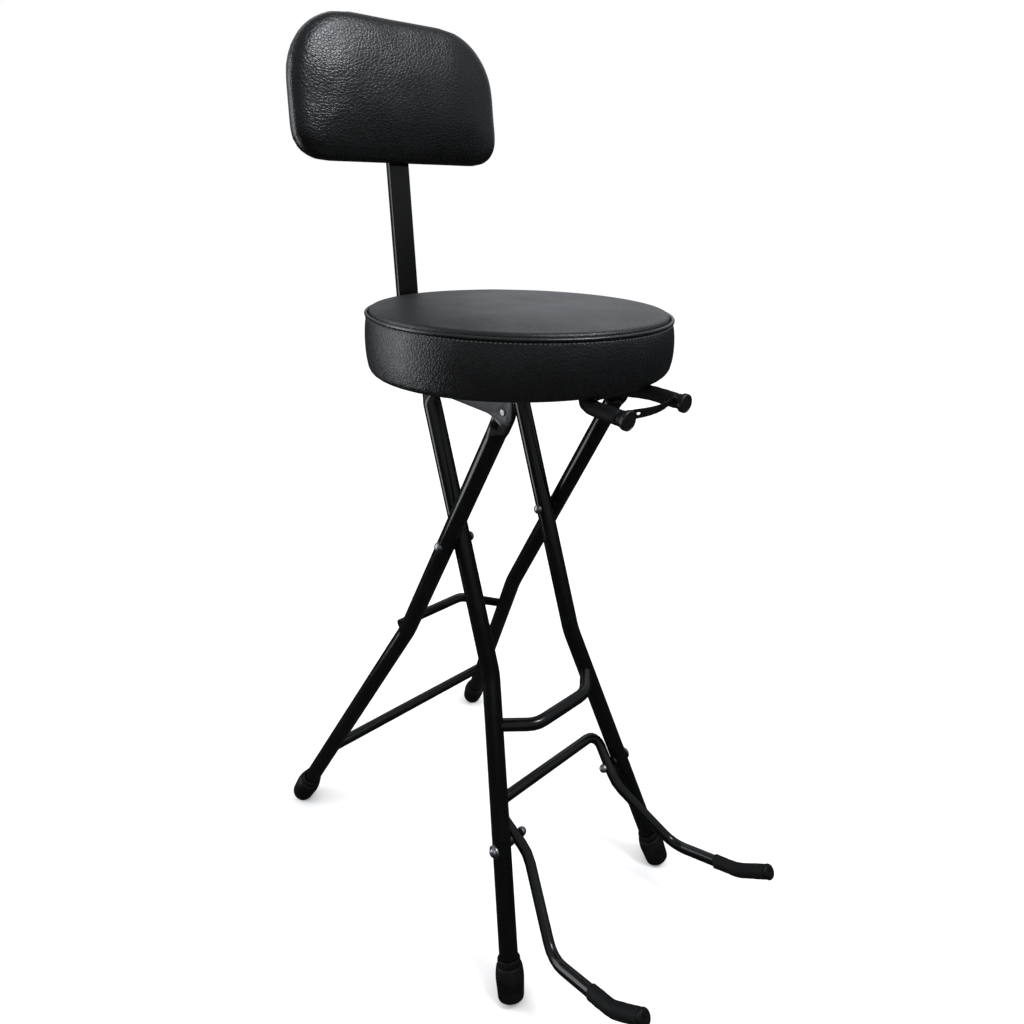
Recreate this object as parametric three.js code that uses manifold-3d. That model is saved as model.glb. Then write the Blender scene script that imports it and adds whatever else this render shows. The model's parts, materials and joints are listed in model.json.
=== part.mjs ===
// Folding guitar stool: a padded round seat and backrest on two crossed tube frames,
// with a neck yoke under the seat front and a swing-up body cradle between the front legs.
// Millimetres, +Z up, the sitter faces -Y, X runs across the stool.

import * as THREE from 'three';
import { mergeVertices } from 'three/addons/utils/BufferGeometryUtils.js';
import Module from 'manifold-3d';

const wasm = await Module();
wasm.setup();

const degree = Math.PI / 180;

// Fits
const clearance = 0.3;
const pinClearance = 0.3;
const overrun = 12;

// Crossed frames
const crossHeight = 485;
const crossBack = 25;
const rearLean = 29.75 * degree;
const frontLean = 18.25 * degree;
const rearTopReach = 210;
const frontTopReach = 196;
const legRadius = 10.8;
const legWall = 1.2;
const legBendRadius = 80;
const frontHalfWidth = 68.5;
const frontFootHalfWidth = 135;
const frontBendDrop = 163;
const crossWasher = 1;
const rearFootHalfWidth = 166;
const rearBendDrop = 172;

// Pressed flat tops of the legs
const flatHalfWidth = 14.2;
const flatThickness = 3;
const creaseDrop = 18;
const creaseLength = 16;

// Rubber feet
const footLength = 42;
const footSole = 6;
const footPress = 1.2;
const footCollarRadius = 13.2;
const footCollarLength = 7;
const footWaistRadius = 14.4;
const footRadius = 16.4;
const footWidestShare = 0.58;
const footToeRadius = 15;
const footToeLength = 6;

// Cross bars
const barRadius = 7.5;
const barWall = 1.2;
const lowerBarRadius = 7.35;
const lowerBarDrop = 438.4;
const braceRadius = 6.2;
const braceLeftDrop = 186;
const braceRightDrop = 260;
const braceLeftEnd = 89;
const braceRightEnd = 113;
const braceKink = 12;
const braceBendRadius = 26;
const footrestDrop = 219.6;
const footrestBow = 33;
const footrestFlatHalf = 42;
const footrestBendRadius = 30;

// Bolts at the crossing, in the cradle and in the leg tops
const crossBoltRadius = 4;
const crossHeadRadius = 6;
const crossHeadHeight = 4;
const crossNutHeight = 5.4;
const hookRodRadius = 4;
const nutRadius = 7.4;
const nutThickness = 5.5;
const rivetRadius = 3;
const rivetHeadRadius = 3.9;
const rivetHeadHeight = 1.5;
const cradleBoltRadius = 3;
const cradleHeadRadius = 5.4;
const cradleHeadHeight = 4;
const cradleWasherRadius = 7.5;
const cradleWasherThickness = 1.4;

// Seat
const pivotDrop = 22;
const seatRadius = 170;
const cushionHeight = 60;
const crownHeight = 12;
const shoulderRise = 8.5;
const cushionBulge = 2.5;
const cushionFootRadius = 9;
const cushionSag = 1.5;
const cushionTopRadius = 9;
const weltRadius = 2.8;
const boardRadius = 152;
const boardThickness = 12;

// Pressed seat bracket
const panSteel = 2.5;
const panRear = 104;
const flangeLobeRadius = 12.8;
const flangeWaistDepth = 28;
const flangeWaistBack = 24.5;
const flangeRearDepth = 19;
const hookHalfSpread = 52;
const hookLip = 10;
const hookWall = 9;
const hookFrontLength = 16;
const panScrewSpread = 70;
const panScrewBack = 62;
const screwRadius = 2.5;
const screwHeadRadius = 5;
const screwHeadHeight = 2.6;
const screwLength = 9;

// Neck yoke
const yokeRadius = 5;
const yokeFoamRadius = 8;
const yokeDrop = 15;
const yokeTilt = 4 * degree;
const yokeHalfWidth = 45;
const yokeBendRadius = 40;
const yokeDepth = 71;
const yokeTip = 192.5;
const yokeCapRadius = 10;
const yokeCapThickness = 5;
const yokeTabHalfWidth = 11;
const yokeTabThickness = 3;
const yokeTabRoot = 52;
const yokeTabBend = 97;
const strapEyeRadius = 8.3;
const strapEyeThickness = 5.4;
const strapTop = 6.5;
const strapTallHeight = 11.5;
const strapSlimHeight = 5;
const strapThickness = 3;
const strapBow = 18;
const strapShoulder = 34;

// Backrest
const postHalfWidth = 15;
const postHalfDepth = 5;
const postWall = 1.5;
const postLean = 4.4 * degree;
const postBack = 215;
const postBottom = 70;
const postTop = 366;
const receiverHeight = 80;
const receiverWall = 2.5;
const receiverFit = 0.4;
const receiverRise = 6;
const armThickness = 5;
const armFront = 20;
const armHalfWidth = 16;
const padHalfWidth = 150;
const padHalfHeight = 82.5;
const padCentreDrop = 55.5;
const padTopCorner = 77;
const padTaperShare = 0.03;
const padBottomCorner = 36;
const padDepth = 26;
const padCrown = 7;
const padBulge = 2.5;
const padEdgeRadius = 9;
const padBoardInset = 14;
const padBoardThickness = 8;
const padScrewSpread = 34;
const knobRadius = 17;
const knobLobeRadius = 5.5;
const knobThickness = 12;
const knobNeckRadius = 7;
const knobNeckLength = 5;
const knobStudRadius = 3.6;
const knobDrop = 26;

// Body cradle
const cradleDrop = 351;
const cradleRadius = 6.5;
const cradleSpacerLength = 2.9;
const cradleTopSpread = 7.5;
const cradleBarRise = 35;
const cradleBarBack = 19.6;
const cradleCornerRadius = 14;
const cradleKneeDrop = 22;
const cradleKneeRadius = 45;
const cradleValleySpread = 27.5;
const cradleValleyReach = 89;
const cradleValleyDrop = 79;
const cradleValleyRadius = 30;
const cradleElbowReach = 176.5;
const cradleElbowDrop = 55;
const cradleElbowRadius = 40;
const cradleTipSpread = 33;
const cradleTipReach = 212;
const cradleTipDrop = 29;
const sleeveRadius = 7.9;
const sleeveLength = 76;
const cradleCapRadius = 8.3;
const cradleCapThickness = 4;
const cradleSpacerRadius = 6;

// Facet counts
const tubeSides = 16;
const smallSides = 12;
const screwSides = 8;
const seatSides = 44;
const arcSteps = 5;

const paint = new THREE.MeshStandardMaterial({ color: 0x141516, roughness: 0.42, metalness: 0.2 });
const chrome = new THREE.MeshStandardMaterial({ color: 0xc9ccd0, roughness: 0.22, metalness: 1 });
const vinyl = new THREE.MeshStandardMaterial({ color: 0x17191b, roughness: 0.5, metalness: 0 });
const rubber = new THREE.MeshStandardMaterial({ color: 0x101010, roughness: 0.75, metalness: 0 });
const foam = new THREE.MeshStandardMaterial({ color: 0x131313, roughness: 0.95, metalness: 0 });
const plastic = new THREE.MeshStandardMaterial({ color: 0x0f1011, roughness: 0.45, metalness: 0 });
const plywood = new THREE.MeshStandardMaterial({ color: 0x8a6d4a, roughness: 0.8, metalness: 0 });

// Solids and booleans

// Turns faces outwards where a profile was drawn the other way round.
function faceOutwards(positions, index) {
  let volume = 0;
  const corner = new THREE.Vector3();
  for (let i = 0; i < index.length; i += 3) {
    const [a, b, c] = [0, 1, 2].map((k) => corner.clone().fromArray(positions, index[i + k] * 3));
    volume += a.dot(b.cross(c));
  }
  if (volume >= 0) return;
  for (let i = 0; i < index.length; i += 3) [index[i], index[i + 1]] = [index[i + 1], index[i]];
}

function solidOf(geometry) {
  const plain = geometry.clone();
  plain.deleteAttribute('normal');
  plain.deleteAttribute('uv');
  const welded = mergeVertices(plain);
  const corners = welded.index.array;
  const kept = [];
  for (let i = 0; i < corners.length; i += 3) {
    const [a, b, c] = [corners[i], corners[i + 1], corners[i + 2]];
    if (a !== b && b !== c && c !== a) kept.push(a, b, c);
  }
  const vertProperties = new Float32Array(welded.attributes.position.array);
  faceOutwards(vertProperties, kept);
  return new wasm.Manifold(new wasm.Mesh({ numProp: 3, vertProperties, triVerts: new Uint32Array(kept) }));
}

function geometryOf(solid) {
  const mesh = solid.getMesh();
  const geometry = new THREE.BufferGeometry();
  geometry.setAttribute('position', new THREE.BufferAttribute(new Float32Array(mesh.vertProperties), 3));
  geometry.setIndex(new THREE.BufferAttribute(new Uint32Array(mesh.triVerts), 1));
  geometry.computeVertexNormals();
  return geometry;
}

const joined = (...pieces) => geometryOf(pieces.map(solidOf).reduce((sum, piece) => sum.add(piece)));

const cut = (piece, ...cutters) =>
  geometryOf(cutters.map(solidOf).reduce((rest, cutter) => rest.subtract(cutter), solidOf(piece)));

// A closed skin over a run of rings with equal counts, capped at its first and last ring.
function loft(rings) {
  const count = rings[0].length;
  const positions = rings.flat().flatMap((point) => point.toArray());
  const index = [];
  for (let r = 0; r + 1 < rings.length; r++) {
    for (let i = 0; i < count; i++) {
      const next = (i + 1) % count;
      const [a, b, c, d] = [r * count + i, r * count + next, (r + 1) * count + i, (r + 1) * count + next];
      index.push(a, b, c, b, d, c);
    }
  }
  const cap = (ring, start, flip) => {
    const middle = ring.reduce((sum, point) => sum.add(point), new THREE.Vector3()).divideScalar(count);
    const hub = positions.length / 3;
    positions.push(...middle.toArray());
    for (let i = 0; i < count; i++) {
      const [a, b] = [start + i, start + ((i + 1) % count)];
      index.push(...(flip ? [hub, b, a] : [hub, a, b]));
    }
  };
  cap(rings[0], 0, true);
  cap(rings[rings.length - 1], (rings.length - 1) * count, false);
  faceOutwards(positions, index);
  const geometry = new THREE.BufferGeometry();
  geometry.setAttribute('position', new THREE.Float32BufferAttribute(positions, 3));
  geometry.setIndex(index);
  return geometry;
}

// A round bar along X.
function barX(radius, from, to, sides = smallSides) {
  return new THREE.CylinderGeometry(radius, radius, Math.abs(to - from), sides)
    .rotateZ(Math.PI / 2)
    .translate((from + to) / 2, 0, 0);
}

function box(low, high) {
  const size = high.map((value, i) => value - low[i]);
  return new THREE.BoxGeometry(...size).translate(...low.map((value, i) => value + size[i] / 2));
}

// A turned piece: outline of [radius, height] pairs, closed on the axis, standing on Z.
const turned = (outline, sides = smallSides) =>
  geometryOf(solidOf(new THREE.LatheGeometry(outline.map(([r, h]) => new THREE.Vector2(r, h)), sides)
    .rotateX(Math.PI / 2)));

// The same piece lying along X, its height pointing to the given side.
const turnedX = (outline, side, sides = smallSides) =>
  turned(outline, sides).rotateY((side * Math.PI) / 2);

const extruded = (shape, depth, curveSegments = 6) =>
  geometryOf(solidOf(new THREE.ExtrudeGeometry(shape, { depth, bevelEnabled: false, curveSegments })));

// A side view drawn in (Y, Z), extruded across X and centred on x = 0.
const sideExtruded = (shape, width, curveSegments = 6) =>
  extruded(shape, width, curveSegments).rotateX(Math.PI / 2).rotateZ(Math.PI / 2).translate(-width / 2, 0, 0);

// Routes: straight runs joined by arcs, with stations only where the run bends.

class BentRun extends THREE.Curve {
  constructor(corners, radii) {
    super();
    this.stations = [];
    const add = (point, tangent) => this.stations.push({ point, tangent });
    const heading = (a, b) => b.clone().sub(a).normalize();
    const last = corners.length - 1;
    add(corners[0], heading(corners[0], corners[1]));
    for (let i = 1; i < last; i++) {
      const before = heading(corners[i - 1], corners[i]);
      const after = heading(corners[i], corners[i + 1]);
      const turn = before.angleTo(after);
      if (turn < 1e-6) continue;
      const radius = radii[i - 1];
      const setBack = radius * Math.tan(turn / 2);
      const inward = after.clone().sub(before.clone().multiplyScalar(Math.cos(turn))).normalize();
      const start = corners[i].clone().addScaledVector(before, -setBack);
      const centre = start.clone().addScaledVector(inward, radius);
      const steps = Math.max(2, Math.ceil((arcSteps * turn) / (Math.PI / 2)));
      for (let k = 0; k <= steps; k++) {
        const angle = (turn * k) / steps;
        const point = centre.clone()
          .addScaledVector(inward, -radius * Math.cos(angle))
          .addScaledVector(before, radius * Math.sin(angle));
        const tangent = before.clone().multiplyScalar(Math.cos(angle)).addScaledVector(inward, Math.sin(angle));
        add(point, tangent);
      }
    }
    add(corners[last], heading(corners[last - 1], corners[last]));
  }

  get steps() {
    return this.stations.length - 1;
  }

  station(u) {
    return this.stations[Math.round(u * this.steps)];
  }

  getPoint(u, target = new THREE.Vector3()) {
    return target.copy(this.station(u).point);
  }

  getPointAt(u, target) {
    return this.getPoint(u, target);
  }

  getTangentAt(u, target = new THREE.Vector3()) {
    return target.copy(this.station(u).tangent);
  }
}

const points = (...triples) => triples.map((triple) => new THREE.Vector3(...triple));

// A round rod or pipe along a route.
function pipe(route, radius, bore = 0, sides = smallSides) {
  const section = new THREE.Shape().absarc(0, 0, radius, 0, 2 * Math.PI);
  if (bore > 0) section.holes.push(new THREE.Path().absarc(0, 0, bore, 0, 2 * Math.PI, true));
  return geometryOf(solidOf(new THREE.ExtrudeGeometry(section, {
    extrudePath: route, steps: route.steps, curveSegments: sides / 2, bevelEnabled: false,
  })));
}

// Scene graph helpers

const stool = new THREE.Group();

function place(parent, name, geometry, material, position = [0, 0, 0]) {
  const mesh = new THREE.Mesh(geometry, material);
  mesh.name = name;
  mesh.position.set(...position);
  parent.add(mesh);
  return mesh;
}

const sides = [['left', -1], ['right', 1]];

// Each frame lies in its own plane: local Z runs up the slope from the crossing, local Y is square to it.

const rearFrame = new THREE.Group();
rearFrame.position.set(0, crossBack, crossHeight);
rearFrame.rotation.x = rearLean;
const frontFrame = new THREE.Group();
frontFrame.position.copy(rearFrame.position);
frontFrame.rotation.x = -frontLean;
stool.add(rearFrame, frontFrame);

const crossSpace = crossWasher + 2 * clearance;
const rearHalfWidth = frontHalfWidth + 2 * legRadius + crossSpace;
const rearPlan = {
  halfWidth: rearHalfWidth, footHalfWidth: rearFootHalfWidth, bendDrop: rearBendDrop,
  footDrop: crossHeight / Math.cos(rearLean), topReach: rearTopReach,
};
const frontPlan = {
  halfWidth: frontHalfWidth, footHalfWidth: frontFootHalfWidth, bendDrop: frontBendDrop,
  footDrop: crossHeight / Math.cos(frontLean), topReach: frontTopReach,
};

const flare = (plan) => Math.atan2(plan.footHalfWidth - plan.halfWidth, plan.footDrop - plan.bendDrop);

// The foot's round toe, tip first, in its own axis.
const toeShares = [[1, 1], [0.99, 0.5], [0.96, 0.18], [0.86, 0], [0, 0]];
const footToe = toeShares.map(([across, along]) => [footToeRadius * across, footToeLength * along]);

// How far up the leg's axis from the floor the toe's tip sits, so that the toe is pressed flat by footPress.
function footLift(plan, lean) {
  const tilt = Math.acos(Math.cos(lean) * Math.cos(flare(plan)));
  const lowest = Math.min(...footToe.map(([r, h]) => h * Math.cos(tilt) - r * Math.sin(tilt)));
  return (-footPress - lowest) / Math.cos(tilt);
}

rearPlan.footLift = footLift(rearPlan, rearLean);
frontPlan.footLift = footLift(frontPlan, frontLean);

// Distance of the leg's middle line from the stool's middle, at a drop below the crossing.
const legOffset = (plan, drop) =>
  plan.halfWidth + Math.max(0, drop - plan.bendDrop) * Math.tan(flare(plan));

// One ring of a leg's section, from round to pressed flat.
function legRing(station, halfThickness, halfWidth, squareness) {
  const across = new THREE.Vector3(station.tangent.z, 0, -station.tangent.x);
  const soften = (value) => Math.sign(value) * Math.abs(value) ** (1 - squareness);
  return Array.from({ length: tubeSides }, (_, i) => {
    const angle = ((i + 0.5) * 2 * Math.PI) / tubeSides;
    return station.point.clone()
      .addScaledVector(across, halfThickness * soften(Math.cos(angle)))
      .add(new THREE.Vector3(0, halfWidth * soften(Math.sin(angle)), 0));
  });
}

function legBody(plan, side, grow, hollow) {
  const down = new THREE.Vector3(0, 0, -1);
  const at = (height) => ({ point: new THREE.Vector3(side * plan.halfWidth, 0, height), tangent: down });
  const flatHalf = flatThickness / 2 + grow;
  const wide = flatHalfWidth + grow;
  const round = legRadius + grow;
  const flatSquareness = 0.55;
  const rings = [];
  const noseAngles = [80, 52, 24, 0].map((angle) => angle * degree);
  for (const angle of noseAngles) {
    rings.push(legRing(at(plan.topReach + wide * Math.sin(angle)), flatHalf, wide * Math.cos(angle), flatSquareness));
  }
  const creaseHeight = plan.topReach - creaseDrop;
  const blendShares = [0, 0.25, 0.5, 0.75, 1];
  for (const share of blendShares) {
    const mix = Math.sin((share * Math.PI) / 2);
    rings.push(legRing(
      at(creaseHeight - creaseLength * share),
      THREE.MathUtils.lerp(flatHalf, round, mix),
      THREE.MathUtils.lerp(wide, round, mix),
      flatSquareness * (1 - mix),
    ));
  }
  const tubeEnd = plan.footLift + footSole;
  const end = new THREE.Vector3(
    side * (plan.footHalfWidth - tubeEnd * Math.sin(flare(plan))), 0,
    -plan.footDrop + tubeEnd * Math.cos(flare(plan)),
  );
  const run = new BentRun(
    [
      new THREE.Vector3(side * plan.halfWidth, 0, creaseHeight - creaseLength),
      new THREE.Vector3(side * plan.halfWidth, 0, -plan.bendDrop),
      end,
    ],
    [legBendRadius],
  );
  for (const station of run.stations.slice(1)) rings.push(legRing(station, round, round, 0));
  if (hollow) {
    const bore = legRadius - legWall;
    for (const station of [...run.stations].reverse()) rings.push(legRing(station, bore, bore, 0));
  }
  return loft(rings);
}

const grownLeg = (plan, side) => legBody(plan, side, clearance, false);

function bored(leg, plan, side, holes) {
  const drills = holes.map(([radius, height]) =>
    barX(radius + pinClearance, side * (legOffset(plan, -height) - legRadius - overrun),
      side * (legOffset(plan, -height) + legRadius + overrun)).translate(0, 0, height));
  return cut(leg, ...drills);
}

for (const [name, side] of sides) {
  place(rearFrame, `rear_leg_${name}`,
    bored(legBody(rearPlan, side, 0, true), rearPlan, side, [[rivetRadius, rearTopReach], [crossBoltRadius, 0]]), paint);
  place(frontFrame, `front_leg_${name}`,
    bored(legBody(frontPlan, side, 0, true), frontPlan, side,
      [[hookRodRadius, frontTopReach], [crossBoltRadius, 0], [cradleBoltRadius, -cradleDrop]]), paint);
}

// Rubber feet: a collar, a step and a round-toed barrel over the tube's end, flattened where they press the floor.

function addFoot(frame, plan, name, side) {
  const bore = legRadius + clearance;
  const outline = [
    [0, footSole - clearance], [bore, footSole - clearance], [bore, footLength],
    [footCollarRadius, footLength], [footCollarRadius, footLength - footCollarLength],
    [footWaistRadius, footLength - footCollarLength], [footRadius, footLength * footWidestShare], ...footToe,
  ];
  const holder = new THREE.Group();
  holder.position.set(side * plan.footHalfWidth, 0, -plan.footDrop);
  holder.rotation.y = -side * flare(plan);
  frame.add(holder);
  const barrel = new THREE.Group();
  barrel.position.z = plan.footLift;
  holder.add(barrel);
  stool.updateMatrixWorld(true);
  const reach = 3 * footRadius;
  const centre = new THREE.Vector3().setFromMatrixPosition(holder.matrixWorld);
  const floor = box([-reach, -reach, -2 * reach], [reach, reach, 0])
    .translate(centre.x, centre.y, 0)
    .applyMatrix4(barrel.matrixWorld.clone().invert());
  place(barrel, name, cut(turned(outline, tubeSides), floor), rubber);
}

for (const [name, side] of sides) {
  addFoot(rearFrame, rearPlan, `rear_foot_${name}`, side);
  addFoot(frontFrame, frontPlan, `front_foot_${name}`, side);
}

// Cross bars, saddled against the legs they are welded to.

function betweenLegs(bar, plan) {
  return cut(bar, grownLeg(plan, -1), grownLeg(plan, 1));
}

const lowerBarHalf = legOffset(rearPlan, lowerBarDrop);
place(rearFrame, 'lower_rear_bar', betweenLegs(pipe(
  new BentRun(points([-lowerBarHalf, 0, -lowerBarDrop], [lowerBarHalf, 0, -lowerBarDrop]), []),
  lowerBarRadius, lowerBarRadius - barWall), rearPlan), paint);

const braceBack = legRadius + braceRadius + clearance;
place(rearFrame, 'upper_brace_bar', pipe(new BentRun(
  points([-braceLeftEnd, braceBack, -braceLeftDrop], [braceKink, braceBack, -braceLeftDrop],
    [braceRightEnd, braceBack, -braceRightDrop]),
  [braceBendRadius]), braceRadius), paint);

const footrestHalf = legOffset(frontPlan, footrestDrop);
const footrestForward = [-footrestBow * Math.cos(frontLean), -footrestDrop - footrestBow * Math.sin(frontLean)];
place(frontFrame, 'footrest_bar', betweenLegs(pipe(new BentRun(
  points([-footrestHalf, 0, -footrestDrop], [-footrestFlatHalf, ...footrestForward],
    [footrestFlatHalf, ...footrestForward], [footrestHalf, 0, -footrestDrop]),
  [footrestBendRadius, footrestBendRadius]), barRadius, barRadius - barWall), frontPlan), paint);

// Bolts and cap nuts at the crossing, with a plastic washer between the two tubes.

const domeOutline = (radius, height) => [
  [0, 0], [radius, 0], [radius, height * 0.35], [radius * 0.86, height * 0.72],
  [radius * 0.5, height * 0.95], [0, height],
];

for (const [name, side] of sides) {
  const outer = side * (rearHalfWidth + legRadius);
  const nutFace = side * (frontHalfWidth - legRadius - clearance);
  const boltEnd = nutFace - side * (crossNutHeight / 2);
  const saddle = cut(
    joined(turnedX(domeOutline(crossHeadRadius, crossHeadHeight), side).translate(outer, 0, 0),
      barX(crossHeadRadius, side * (rearHalfWidth + legRadius / 2), outer)),
    grownLeg(rearPlan, side));
  place(rearFrame, `crossing_bolt_${name}`, joined(saddle, barX(crossBoltRadius, boltEnd, outer)), chrome);

  const nut = turnedX(domeOutline(crossHeadRadius, crossNutHeight), -side);
  const thread = barX(crossBoltRadius + pinClearance, nutFace + side * overrun, boltEnd - side * clearance);
  place(rearFrame, `crossing_nut_${name}`, cut(nut.translate(nutFace, 0, 0), thread), chrome);

  const washerMiddle = side * (frontHalfWidth + legRadius + crossSpace / 2);
  place(rearFrame, `crossing_washer_${name}`,
    cut(barX(2 * crossBoltRadius, washerMiddle - crossWasher / 2, washerMiddle + crossWasher / 2),
      barX(crossBoltRadius + pinClearance, washerMiddle - overrun, washerMiddle + overrun)), plastic);
}

// Rod across the front frame's top, which the seat's hooks drop over.

const hexagon = (radius) => {
  const shape = new THREE.Shape();
  for (let i = 0; i < 6; i++) {
    const angle = (i * Math.PI) / 3;
    shape[i ? 'lineTo' : 'moveTo'](radius * Math.cos(angle), radius * Math.sin(angle));
  }
  return shape;
};

const rodShoulder = frontHalfWidth + flatThickness / 2 + clearance;
const rodEnd = rodShoulder + nutThickness + clearance;
place(frontFrame, 'hook_rod', barX(hookRodRadius, -rodEnd, rodEnd, tubeSides), paint, [0, 0, frontTopReach]);
for (const [name, side] of sides) {
  const nut = extruded(hexagon(nutRadius), nutThickness).translate(0, 0, -nutThickness / 2).rotateY(Math.PI / 2);
  const bored = cut(nut, barX(hookRodRadius + pinClearance, -overrun, overrun, tubeSides));
  place(frontFrame, `hook_rod_nut_${name}`, bored, chrome,
    [side * (rodShoulder + nutThickness / 2), 0, frontTopReach]);
}

// Seat: everything below hangs from the underside of the board, at the seat group's origin.

const rearPivot = new THREE.Vector2(
  crossBack - rearTopReach * Math.sin(rearLean), crossHeight + rearTopReach * Math.cos(rearLean));
const hookPoint = new THREE.Vector2(
  crossBack + frontTopReach * Math.sin(frontLean), crossHeight + frontTopReach * Math.cos(frontLean));
const seat = new THREE.Group();
seat.position.set(0, 0, rearPivot.y + pivotDrop);
stool.add(seat);
const rodDrop = seat.position.z - hookPoint.y;

function seatCushion() {
  const path = new THREE.Path();
  const liner = boardRadius + clearance;
  const ceiling = boardThickness + clearance;
  const groove = weltRadius + clearance;
  const wallTop = cushionHeight - groove;
  const midHeight = (cushionFootRadius + wallTop) / 2;
  path.moveTo(0, ceiling);
  path.lineTo(liner, ceiling);
  path.lineTo(liner, 0);
  path.lineTo(seatRadius - cushionFootRadius, -cushionSag);
  path.quadraticCurveTo(seatRadius, -cushionSag, seatRadius, cushionFootRadius);
  path.quadraticCurveTo(seatRadius + 2 * cushionBulge, midHeight, seatRadius, wallTop);
  path.absarc(seatRadius, cushionHeight, groove, -Math.PI / 2, -Math.PI, true);
  const shoulder = seatRadius - groove - cushionTopRadius;
  path.quadraticCurveTo(seatRadius - groove - clearance, cushionHeight + shoulderRise,
    shoulder, cushionHeight + shoulderRise);
  path.quadraticCurveTo(shoulder / 2, cushionHeight + crownHeight, 0, cushionHeight + crownHeight);
  const outline = path.getPoints(3).map((point) => [Math.max(0, point.x), point.y]);
  return turned(outline, seatSides);
}

place(seat, 'seat_cushion', seatCushion(), vinyl);
place(seat, 'seat_welt', new THREE.TorusGeometry(seatRadius, weltRadius, 6, seatSides), vinyl, [0, 0, cushionHeight]);

// Pressed bracket: a plate, two side flanges that carry the rear legs, and two hooks for the rod.

const flangeInner = rearHalfWidth + flatThickness / 2 + clearance;
const flangeOuter = flangeInner + panSteel;
const panTop = -clearance;
const panUnder = panTop - panSteel;

const panFront = flangeLobeRadius - rearPivot.x;

function flangeShape() {
  const shape = new THREE.Shape();
  const waist = [rearPivot.x + flangeWaistBack, -flangeWaistDepth];
  shape.moveTo(-panFront, panTop);
  shape.lineTo(-panFront, -pivotDrop);
  shape.absarc(rearPivot.x, -pivotDrop, flangeLobeRadius, Math.PI, 1.7 * Math.PI, false);
  shape.lineTo(...waist);
  shape.lineTo(panRear, -flangeRearDepth);
  shape.lineTo(panRear, panTop);
  return shape;
}

function hookShape() {
  const shape = new THREE.Shape();
  const [y, z] = [hookPoint.x, -rodDrop];
  const saddle = hookRodRadius + clearance;
  shape.moveTo(y - hookFrontLength, panUnder + clearance);
  shape.lineTo(y - hookFrontLength, z + saddle);
  shape.lineTo(y, z + saddle);
  shape.absarc(y, z, saddle, Math.PI / 2, 0, true);
  shape.lineTo(y + saddle, z - hookLip);
  shape.lineTo(y + saddle + hookWall / 2, z - hookLip);
  shape.lineTo(y + saddle + hookWall, z);
  shape.lineTo(y + saddle + hookWall, panUnder + clearance);
  return shape;
}

const pan = [box([-flangeOuter, -panFront, panUnder], [flangeOuter, panRear, panTop])];
for (const [, side] of sides) {
  pan.push(sideExtruded(flangeShape(), panSteel).translate(side * (flangeInner + panSteel / 2), 0, 0));
  pan.push(sideExtruded(hookShape(), 2 * panSteel).translate(side * hookHalfSpread, 0, 0));
}
const rivetHoles = sides.map(([, side]) =>
  barX(rivetRadius + pinClearance, side * (flangeInner - overrun), side * (flangeOuter + overrun))
    .translate(0, rearPivot.x, -pivotDrop));

for (const [name, side] of sides) {
  const gripFace = flangeOuter + clearance;
  const tailFace = rearHalfWidth - flatThickness / 2 - clearance;
  const button = (face, out) => turnedX([
    [0, 0], [rivetHeadRadius, 0], [rivetHeadRadius * 0.8, rivetHeadHeight * 0.7], [0, rivetHeadHeight]],
  out).translate(side * face, 0, 0);
  place(seat, `pivot_rivet_${name}`,
    joined(button(gripFace, side), button(tailFace, -side), barX(rivetRadius, side * tailFace, side * gripFace)),
    chrome, [0, rearPivot.x, -pivotDrop]);
}

// Screws up into the board: through the bracket alone, through the backrest arm, through the yoke tab.

const armTop = panUnder - clearance;
const armUnder = armTop - armThickness;
const tabUnder = armTop - yokeTabThickness;
const screws = [
  ...[-1, 1].flatMap((across) => [-1, 1].map((along) =>
    ({ name: 'seat_screw', x: across * panScrewSpread, y: along * panScrewBack, under: panUnder }))),
  { name: 'arm_screw', x: 0, y: armFront + armHalfWidth, under: armUnder },
  { name: 'arm_screw', x: 0, y: armFront + 3 * armHalfWidth, under: armUnder },
  { name: 'yoke_screw', x: 0, y: -yokeTabRoot - yokeTabHalfWidth, under: tabUnder },
  { name: 'yoke_screw', x: 0, y: -yokeTabRoot - 3 * yokeTabHalfWidth, under: tabUnder },
];
const screwHoles = screws.map(({ x, y }) =>
  new THREE.CylinderGeometry(screwRadius + pinClearance, screwRadius + pinClearance, 2 * screwLength, smallSides)
    .rotateX(Math.PI / 2).translate(x, y, 0));
const screwCount = {};
for (const { name, x, y, under } of screws) {
  const length = screwLength - clearance - under + panUnder;
  const outline = [
    [0, -screwHeadHeight], [screwHeadRadius * 0.7, -screwHeadHeight], [screwHeadRadius, -screwHeadHeight * 0.3],
    [screwHeadRadius, 0], [screwRadius, 0], [screwRadius, length], [0, length],
  ];
  screwCount[name] = (screwCount[name] ?? 0) + 1;
  place(seat, `${name}_${screwCount[name]}`, turned(outline, screwSides), chrome, [x, y, under - clearance]);
}

place(seat, 'seat_pan', cut(joined(...pan), ...rivetHoles, ...screwHoles), paint);
place(seat, 'seat_board', cut(
  new THREE.CylinderGeometry(boardRadius, boardRadius, boardThickness, seatSides)
    .rotateX(Math.PI / 2).translate(0, 0, boardThickness / 2), ...screwHoles), plywood);

// Neck yoke: a bent rod in a foam sleeve, held by a cranked tab, closed at the front by a strap.

const yoke = new THREE.Group();
yoke.position.set(0, -yokeTip, -yokeDrop);
yoke.rotation.x = yokeTilt;
seat.add(yoke);
yoke.updateMatrix();
const intoYoke = yoke.matrix.clone().invert();
const sleeveStart = strapEyeThickness + 2 * clearance;

const yokeRoute = (start) => new BentRun(
  points([-yokeHalfWidth, start, 0], [-yokeHalfWidth, yokeDepth, 0], [yokeHalfWidth, yokeDepth, 0],
    [yokeHalfWidth, start, 0]),
  [yokeBendRadius, yokeBendRadius]);

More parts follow.
